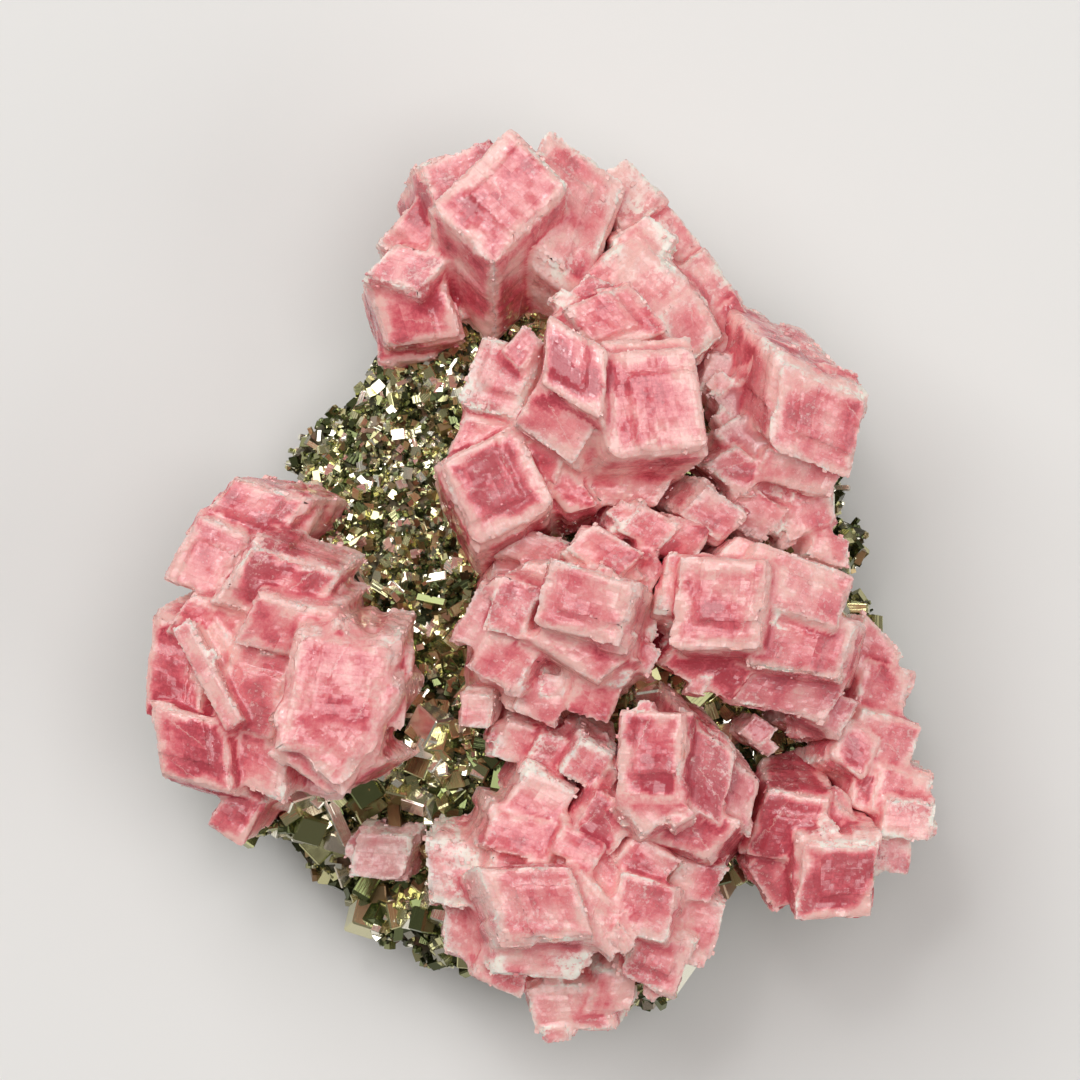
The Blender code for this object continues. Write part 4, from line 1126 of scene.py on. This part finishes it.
ridgeCrystals = {
    "node": "ridge_crystals", "seed": 12, "crumbs": 28, "tone": 0.30, "frost": 0.70, "hopper": 0.25,
    "looks": {
        5: {"tone": 0.15, "frost": 0.8},
        6: {"tone": 0.42, "frost": 0.30, "hopper": 0.12},
    },
    "rows": (
        (5.0, 43.0, 9.5, 46.6, 14.3, 41.8, 34, -0.3, 0.1, 15, -1),
        (10.5, 38.5, 14.5, 41.4, 18.1, 37.0, 31, -0.35, 0.0, 14, -1),
        (13.5, 33.5, 18.3, 36.7, 22.2, 31.0, 32, -0.4, -0.1, 16, 2),
        (17.5, 28.5, 22.0, 31.7, 25.0, 27.0, 31, -0.3, 0.0, 14, -1),
        (3.5, 33.0, 11.0, 38.5, 17.0, 32.5, 37, -0.25, -0.05, 11, 2),
        (8.5, 38.0, 12.0, 40.4, 15.2, 38.0, 36, -0.2, 0.0, 7, -1),
        (2.0, 30.0, 10.0, 33.0, 14.5, 27.5, 43, -0.05, -0.15, 12, 3),
        (1.5, 29.8, 5.5, 34.0, 9.0, 32.5, 41, -0.05, -0.2, 9, -1),
        (18.5, 25.0, 22.0, 28.0, 24.5, 24.5, 32, -0.2, 0.0, 13, -1),
        (12.5, 29.0, 17.0, 32.5, 20.5, 27.0, 36, -0.3, 0.0, 10, 2),
        (4.0, 28.0, 6.0, 41.0, 17.5, 36.0, 29, -0.1, 0.0, 8, -1),
    ),
}

edgeColumnCrystals = {
    "node": "edge_column_crystals", "seed": 13, "crumbs": 20, "tone": 0.58, "frost": 0.50, "hopper": 0.1,
    "looks": {
        4: {"tone": 0.30, "frost": 0.65},
    },
    "rows": (
        (33.5, -9.0, 36.0, -3.8, 40.3, -8.0, 33, -0.2, 0.0, 15, -1),
        (34.5, -14.5, 36.0, -8.5, 41.6, -10.4, 33, -0.25, 0.0, 17, -1),
        (34.0, -20.0, 35.5, -14.0, 42.4, -16.0, 34, -0.25, 0.0, 16, -1),
        (36.5, -25.5, 37.5, -20.0, 43.6, -21.8, 34, -0.2, 0.0, 18, -1),
        (37.6, -28.6, 38.4, -24.0, 44.1, -24.4, 35, -0.1, 0.0, 15, -1),
        (36.5, -32.4, 37.0, -27.6, 41.4, -27.9, 32, -0.1, 0.0, 14, -1),
        (32.0, -19.5, 34.0, -14.8, 38.0, -17.5, 35, -0.1, 0.0, 10, -1),
        (34.0, -25.0, 35.0, -20.5, 38.4, -21.8, 34, -0.1, 0.0, 9, -1),
        (34.0, -27.0, 34.5, -8.0, 39.0, -9.0, 28, 0.0, 0.0, 8, -1),
    ),
}

paleCrystal = {
    "node": "pale_crystal", "seed": 14, "crumbs": 4, "tone": 0.25, "frost": 0.45, "mauve": 0.4, "hopper": 0.2,
    "rows": (
        (-21.3, -32.8, -19.8, -27.6, -13.6, -28.0, 30, 0.05, 0.05, 10, -1),
    ),
}

chipCrystal = {
    "node": "chip_crystal", "seed": 15, "crumbs": 2, "tone": 0.20, "frost": 0.5, "mauve": 0.15, "hopper": 0.1,
    "rows": (
        (-9.0, -16.2, -8.6, -12.3, -5.0, -12.6, 40, 0.0, 0.1, 9, -1),
    ),
}

lozengeCrystal = {
    "node": "lozenge_crystal", "seed": 16, "crumbs": 2, "tone": 0.40, "frost": 0.25, "mauve": 0.4, "hopper": 0.2,
    "rows": (
        (21.9, -16.6, 24.0, -14.4, 26.6, -16.3, 34, 0.0, 0.0, 9, -1),
    ),
}

crystalGroups = {
    "twinCrystals": twinCrystals,
    "heartCrystals": heartCrystals,
    "bulkCrystals": bulkCrystals,
    "crownCrystals": crownCrystals,
    "leftRose": leftRose,
    "lowerCrystals": lowerCrystals,
    "footCrystals": footCrystals,
    "shoulderCrystals": shoulderCrystals,
    "lowRightCrystals": lowRightCrystals,
    "ridgeCrystals": ridgeCrystals,
    "edgeColumnCrystals": edgeColumnCrystals,
    "paleCrystal": paleCrystal,
    "chipCrystal": chipCrystal,
    "lozengeCrystal": lozengeCrystal,
}
for name, info in crystalGroups.items():
    allBoxes[name] = [rhombOf(row) for row in info["rows"]]
for name, info in crystalGroups.items():
    makeGroup(name, info)


# Pyrite: the rock keeps its own mesh, with a crust of small bright crystals on it

lights = {                  # place, size and power
    "keyLight": ((-0.45, 0.50, 0.90), 0.90, 7.4),
    "sparkLight": ((-0.15, 0.40, 1.10), 0.14, 0.7),
    "topLight": ((0.20, 0.05, 1.25), 0.60, 4.0),
    "fillLight": ((0.80, -0.30, 0.60), 0.80, 2.5),
}

druse = {
    "seed": 21,
    "tries": 60000,
    "lowest": 0.5,          # mm above the table
    "clear": -0.3,          # mm outside the pink crystals
    "stretch": (0.75, 1.25),
    "longShape": (2.1, 0.55, 0.75),
    "out": (-0.15, 0.3),    # how far a crystal's middle is outside the rock, as a share of its size
    "lowerPart": (-8, 14),  # mm from the middle towards the lower edge, from none to all
    "top": (12, 17),        # mm above the back, from none to all
    "facing": (0.1, 0.5),   # how far a face of the rock looks up, from none to all
    "rusty": (0.07, 0.04),  # share of rusty crystals on top, and how many more there are lower down
    "glintSpread": 0.05,    # how far off the flashing crystals are turned
    "apart": 3.7,           # mm, so that no two crystals show the same striations
}

# Three layers of pyrite crystals. shares are those kept on top of the rock, in its lower part and on
# its flanks, upper is how much smaller the crystals are on top, and glints is how many flash.
pyriteLayers = {
    "pyriteDruse": {
        "seed": plainCube, "sizes": (0.45, 1.5), "rarity": 2.0, "upper": 0.8, "shares": (1.0, 0.6, 0.16),
        "long": 0.2, "most": 9000, "least": 0.0, "glints": 0.025,
    },
    "pyriteGrains": {
        "seed": seedMesh(0, "ball"), "sizes": (0.5, 1.4), "rarity": 2.0, "upper": 0.8, "shares": (0.5, 0.25, 0.08),
        "long": 0.1, "most": 3000, "least": 0.1, "glints": 0.0,
    },
    "pyriteCrystals": {
        "seed": seedMesh(0.06), "sizes": (1.1, 3.2), "rarity": 2.6, "upper": 0.6, "shares": (0.010, 0.12, 0.012),
        "long": 0.5, "most": 1100, "least": 0.35, "glints": 0.10,
    },
}


def scatterPlaces(count, rand):
    # Random places all over the rock, but for its flat back, and the way out at each
    mesh = rock.data
    mesh.calc_loop_triangles()
    points = pointsOf(rock) / mm
    triangles = np.array([tri.vertices[:] for tri in mesh.loop_triangles])
    corners = points[triangles]
    cross = np.cross(corners[:, 1] - corners[:, 0], corners[:, 2] - corners[:, 0])
    areas = norm(cross, axis=1)
    normals = cross / np.maximum(areas, 1e-9)[:, None]
    flatBack = (normals[:, 2] < -0.9) & (corners[:, :, 2].max(axis=1) < 0.3)
    areas[flatBack] = 0
    picks = rand.choice(len(areas), size=count, p=areas / areas.sum())
    s, t = np.sort(rand.random((2, count)), axis=0)
    shares = np.stack((s, t - s, 1 - t), 1)[:, :, None]
    return (corners[picks] * shares).sum(axis=1), normals[picks]


def glintTurns(rand, count):
    # Crystals with one face halfway between the key light and the eye, so that they flash
    halfway = (Vector(lights["keyLight"][0]).normalized() + Vector((0, 0, 1))).normalized()
    tilt = np.array(halfway.to_track_quat("Z", "Y").to_matrix())
    angle = rand.uniform(0, 2 * math.pi, count)
    spin = np.zeros((count, 3, 3))
    spin[:, 0, 0] = spin[:, 1, 1] = np.cos(angle)
    spin[:, 1, 0] = np.sin(angle)
    spin[:, 0, 1] = -spin[:, 1, 0]
    spin[:, 2, 2] = 1
    return turnsFor(rand, count, druse["glintSpread"]) @ tilt @ spin


def makeDruse(name, info, rand):
    seedPoints = info["seed"][0]
    places, normals = scatterPlaces(druse["tries"], rand)
    count = len(places)
    lower = softStep(-places[:, 1], *druse["lowerPart"])
    front = softStep(normals[:, 2], *druse["facing"]) * softStep(places[:, 2], *druse["top"])
    small, large = info["sizes"]
    size = small + (large - small) * rand.random(count) ** info["rarity"]
    size *= info["upper"] + (1 - info["upper"]) * lower
    onTop, below, onFlanks = info["shares"]
    share = onTop * front * (1 - lower) + below * front * lower + onFlanks * (1 - front)
    stretch = rand.uniform(*druse["stretch"], (count, 3))
    long = rand.random(count) < info["long"]
    stretch[long] *= druse["longShape"]
    places = places + normals * (size * rand.uniform(*druse["out"], count))[:, None]
    high = places[:, 2] > size * 0.75 * stretch.max(axis=1) + druse["lowest"]
    boxes = [box for group in allBoxes.values() for box in group]
    chosen = np.flatnonzero(high & (rand.random(count) < share))
    chosen = chosen[nearestBlock(places[chosen], boxes)[0] > druse["clear"]][:info["most"]]
    places, size, stretch, lower = places[chosen], size[chosen], stretch[chosen], lower[chosen]
    count = len(chosen)
    scale = size[:, None] * stretch
    turns = turnsFor(rand, count)
    glint = rand.random(count) < info["glints"]
    turns[glint] = glintTurns(rand, int(glint.sum()))
    edges = turns * scale[:, None, :]
    piece = joinedMesh(name, *info["seed"], edges, places)
    few, more = druse["rusty"]
    rusty = (rand.random(count) < few + more * lower) * rand.uniform(0.5, 1, count)
    # Each crystal's own brightness, from dark to pale: partly tarnish, partly painted shade and painted reflection;
    # darker towards the lower edge
    tarnishAndPaintedSheen = (info["least"] + (1 - info["least"]) * rand.random(count)) ** (1 + 0.7 * lower)
    storeNumber(piece, "shade", np.repeat(tarnishAndPaintedSheen, len(seedPoints)))
    storeNumber(piece, "rust", np.repeat(rusty, len(seedPoints)))
    apart = druse["apart"] * np.arange(count)[:, None, None]
    storeVector(piece, "grain", (seedPoints[None] * scale[:, None, :] + apart).reshape(-1, 3))
    piece.data.materials.append(pyriteBright)
    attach(piece, "root")
    print(name, count, "crystals", len(piece.data.polygons), "faces")


rock.data.materials.clear()
rock.data.materials.append(pyriteRock)
druseRand = np.random.default_rng(druse["seed"])
for name, info in pyriteLayers.items():
    makeDruse(name, info, druseRand)
bpy.data.objects.remove(seedRhomb, do_unlink=True)


# Table, lights and camera

studio = {
    "tableSize": 3.0,
    "tableColour": (0.80, 0.79, 0.77),
    "air": (0.94, 0.90, 0.86),
    "airStrength": 0.22,
    "lens": 293.9,
    "eye": (-0.000165, 0.00445, 0.993),
}

bpy.ops.object.select_all(action="DESELECT")
bpy.ops.mesh.primitive_plane_add(size=studio["tableSize"], location=(0, 0, 0))
table = bpy.context.object
table.name = "table"
tableMaterial, tableTree, tableShader = newMaterial("tablePaint")
feed(tableTree, tableShader, {"Base Color": studio["tableColour"], "Roughness": 0.7})
table.data.materials.append(tableMaterial)

for name, (place, size, power) in lights.items():
    light = bpy.data.lights.new(name, "AREA")
    light.size = size
    light.energy = power
    box = newObject(name, light)
    box.location = place
    box.rotation_euler = (Vector((0, 0, 0.02)) - Vector(place)).to_track_quat("-Z", "Y").to_euler()
world = bpy.context.scene.world or bpy.data.worlds.new("studio")
bpy.context.scene.world = world
world.use_nodes = True
feed(world.node_tree, world.node_tree.nodes["Background"], {"Color": studio["air"], "Strength": studio["airStrength"]})

cameraData = bpy.data.cameras.new("camera")
cameraData.lens = studio["lens"]
cameraData.sensor_width = 36
cameraData.clip_start = 0.05
cameraData.clip_end = 10
camera = newObject("camera", cameraData)
camera.location = studio["eye"]
bpy.context.scene.camera = camera
bpy.context.scene.view_settings.view_transform = "Standard"
print("table, lights and camera set")
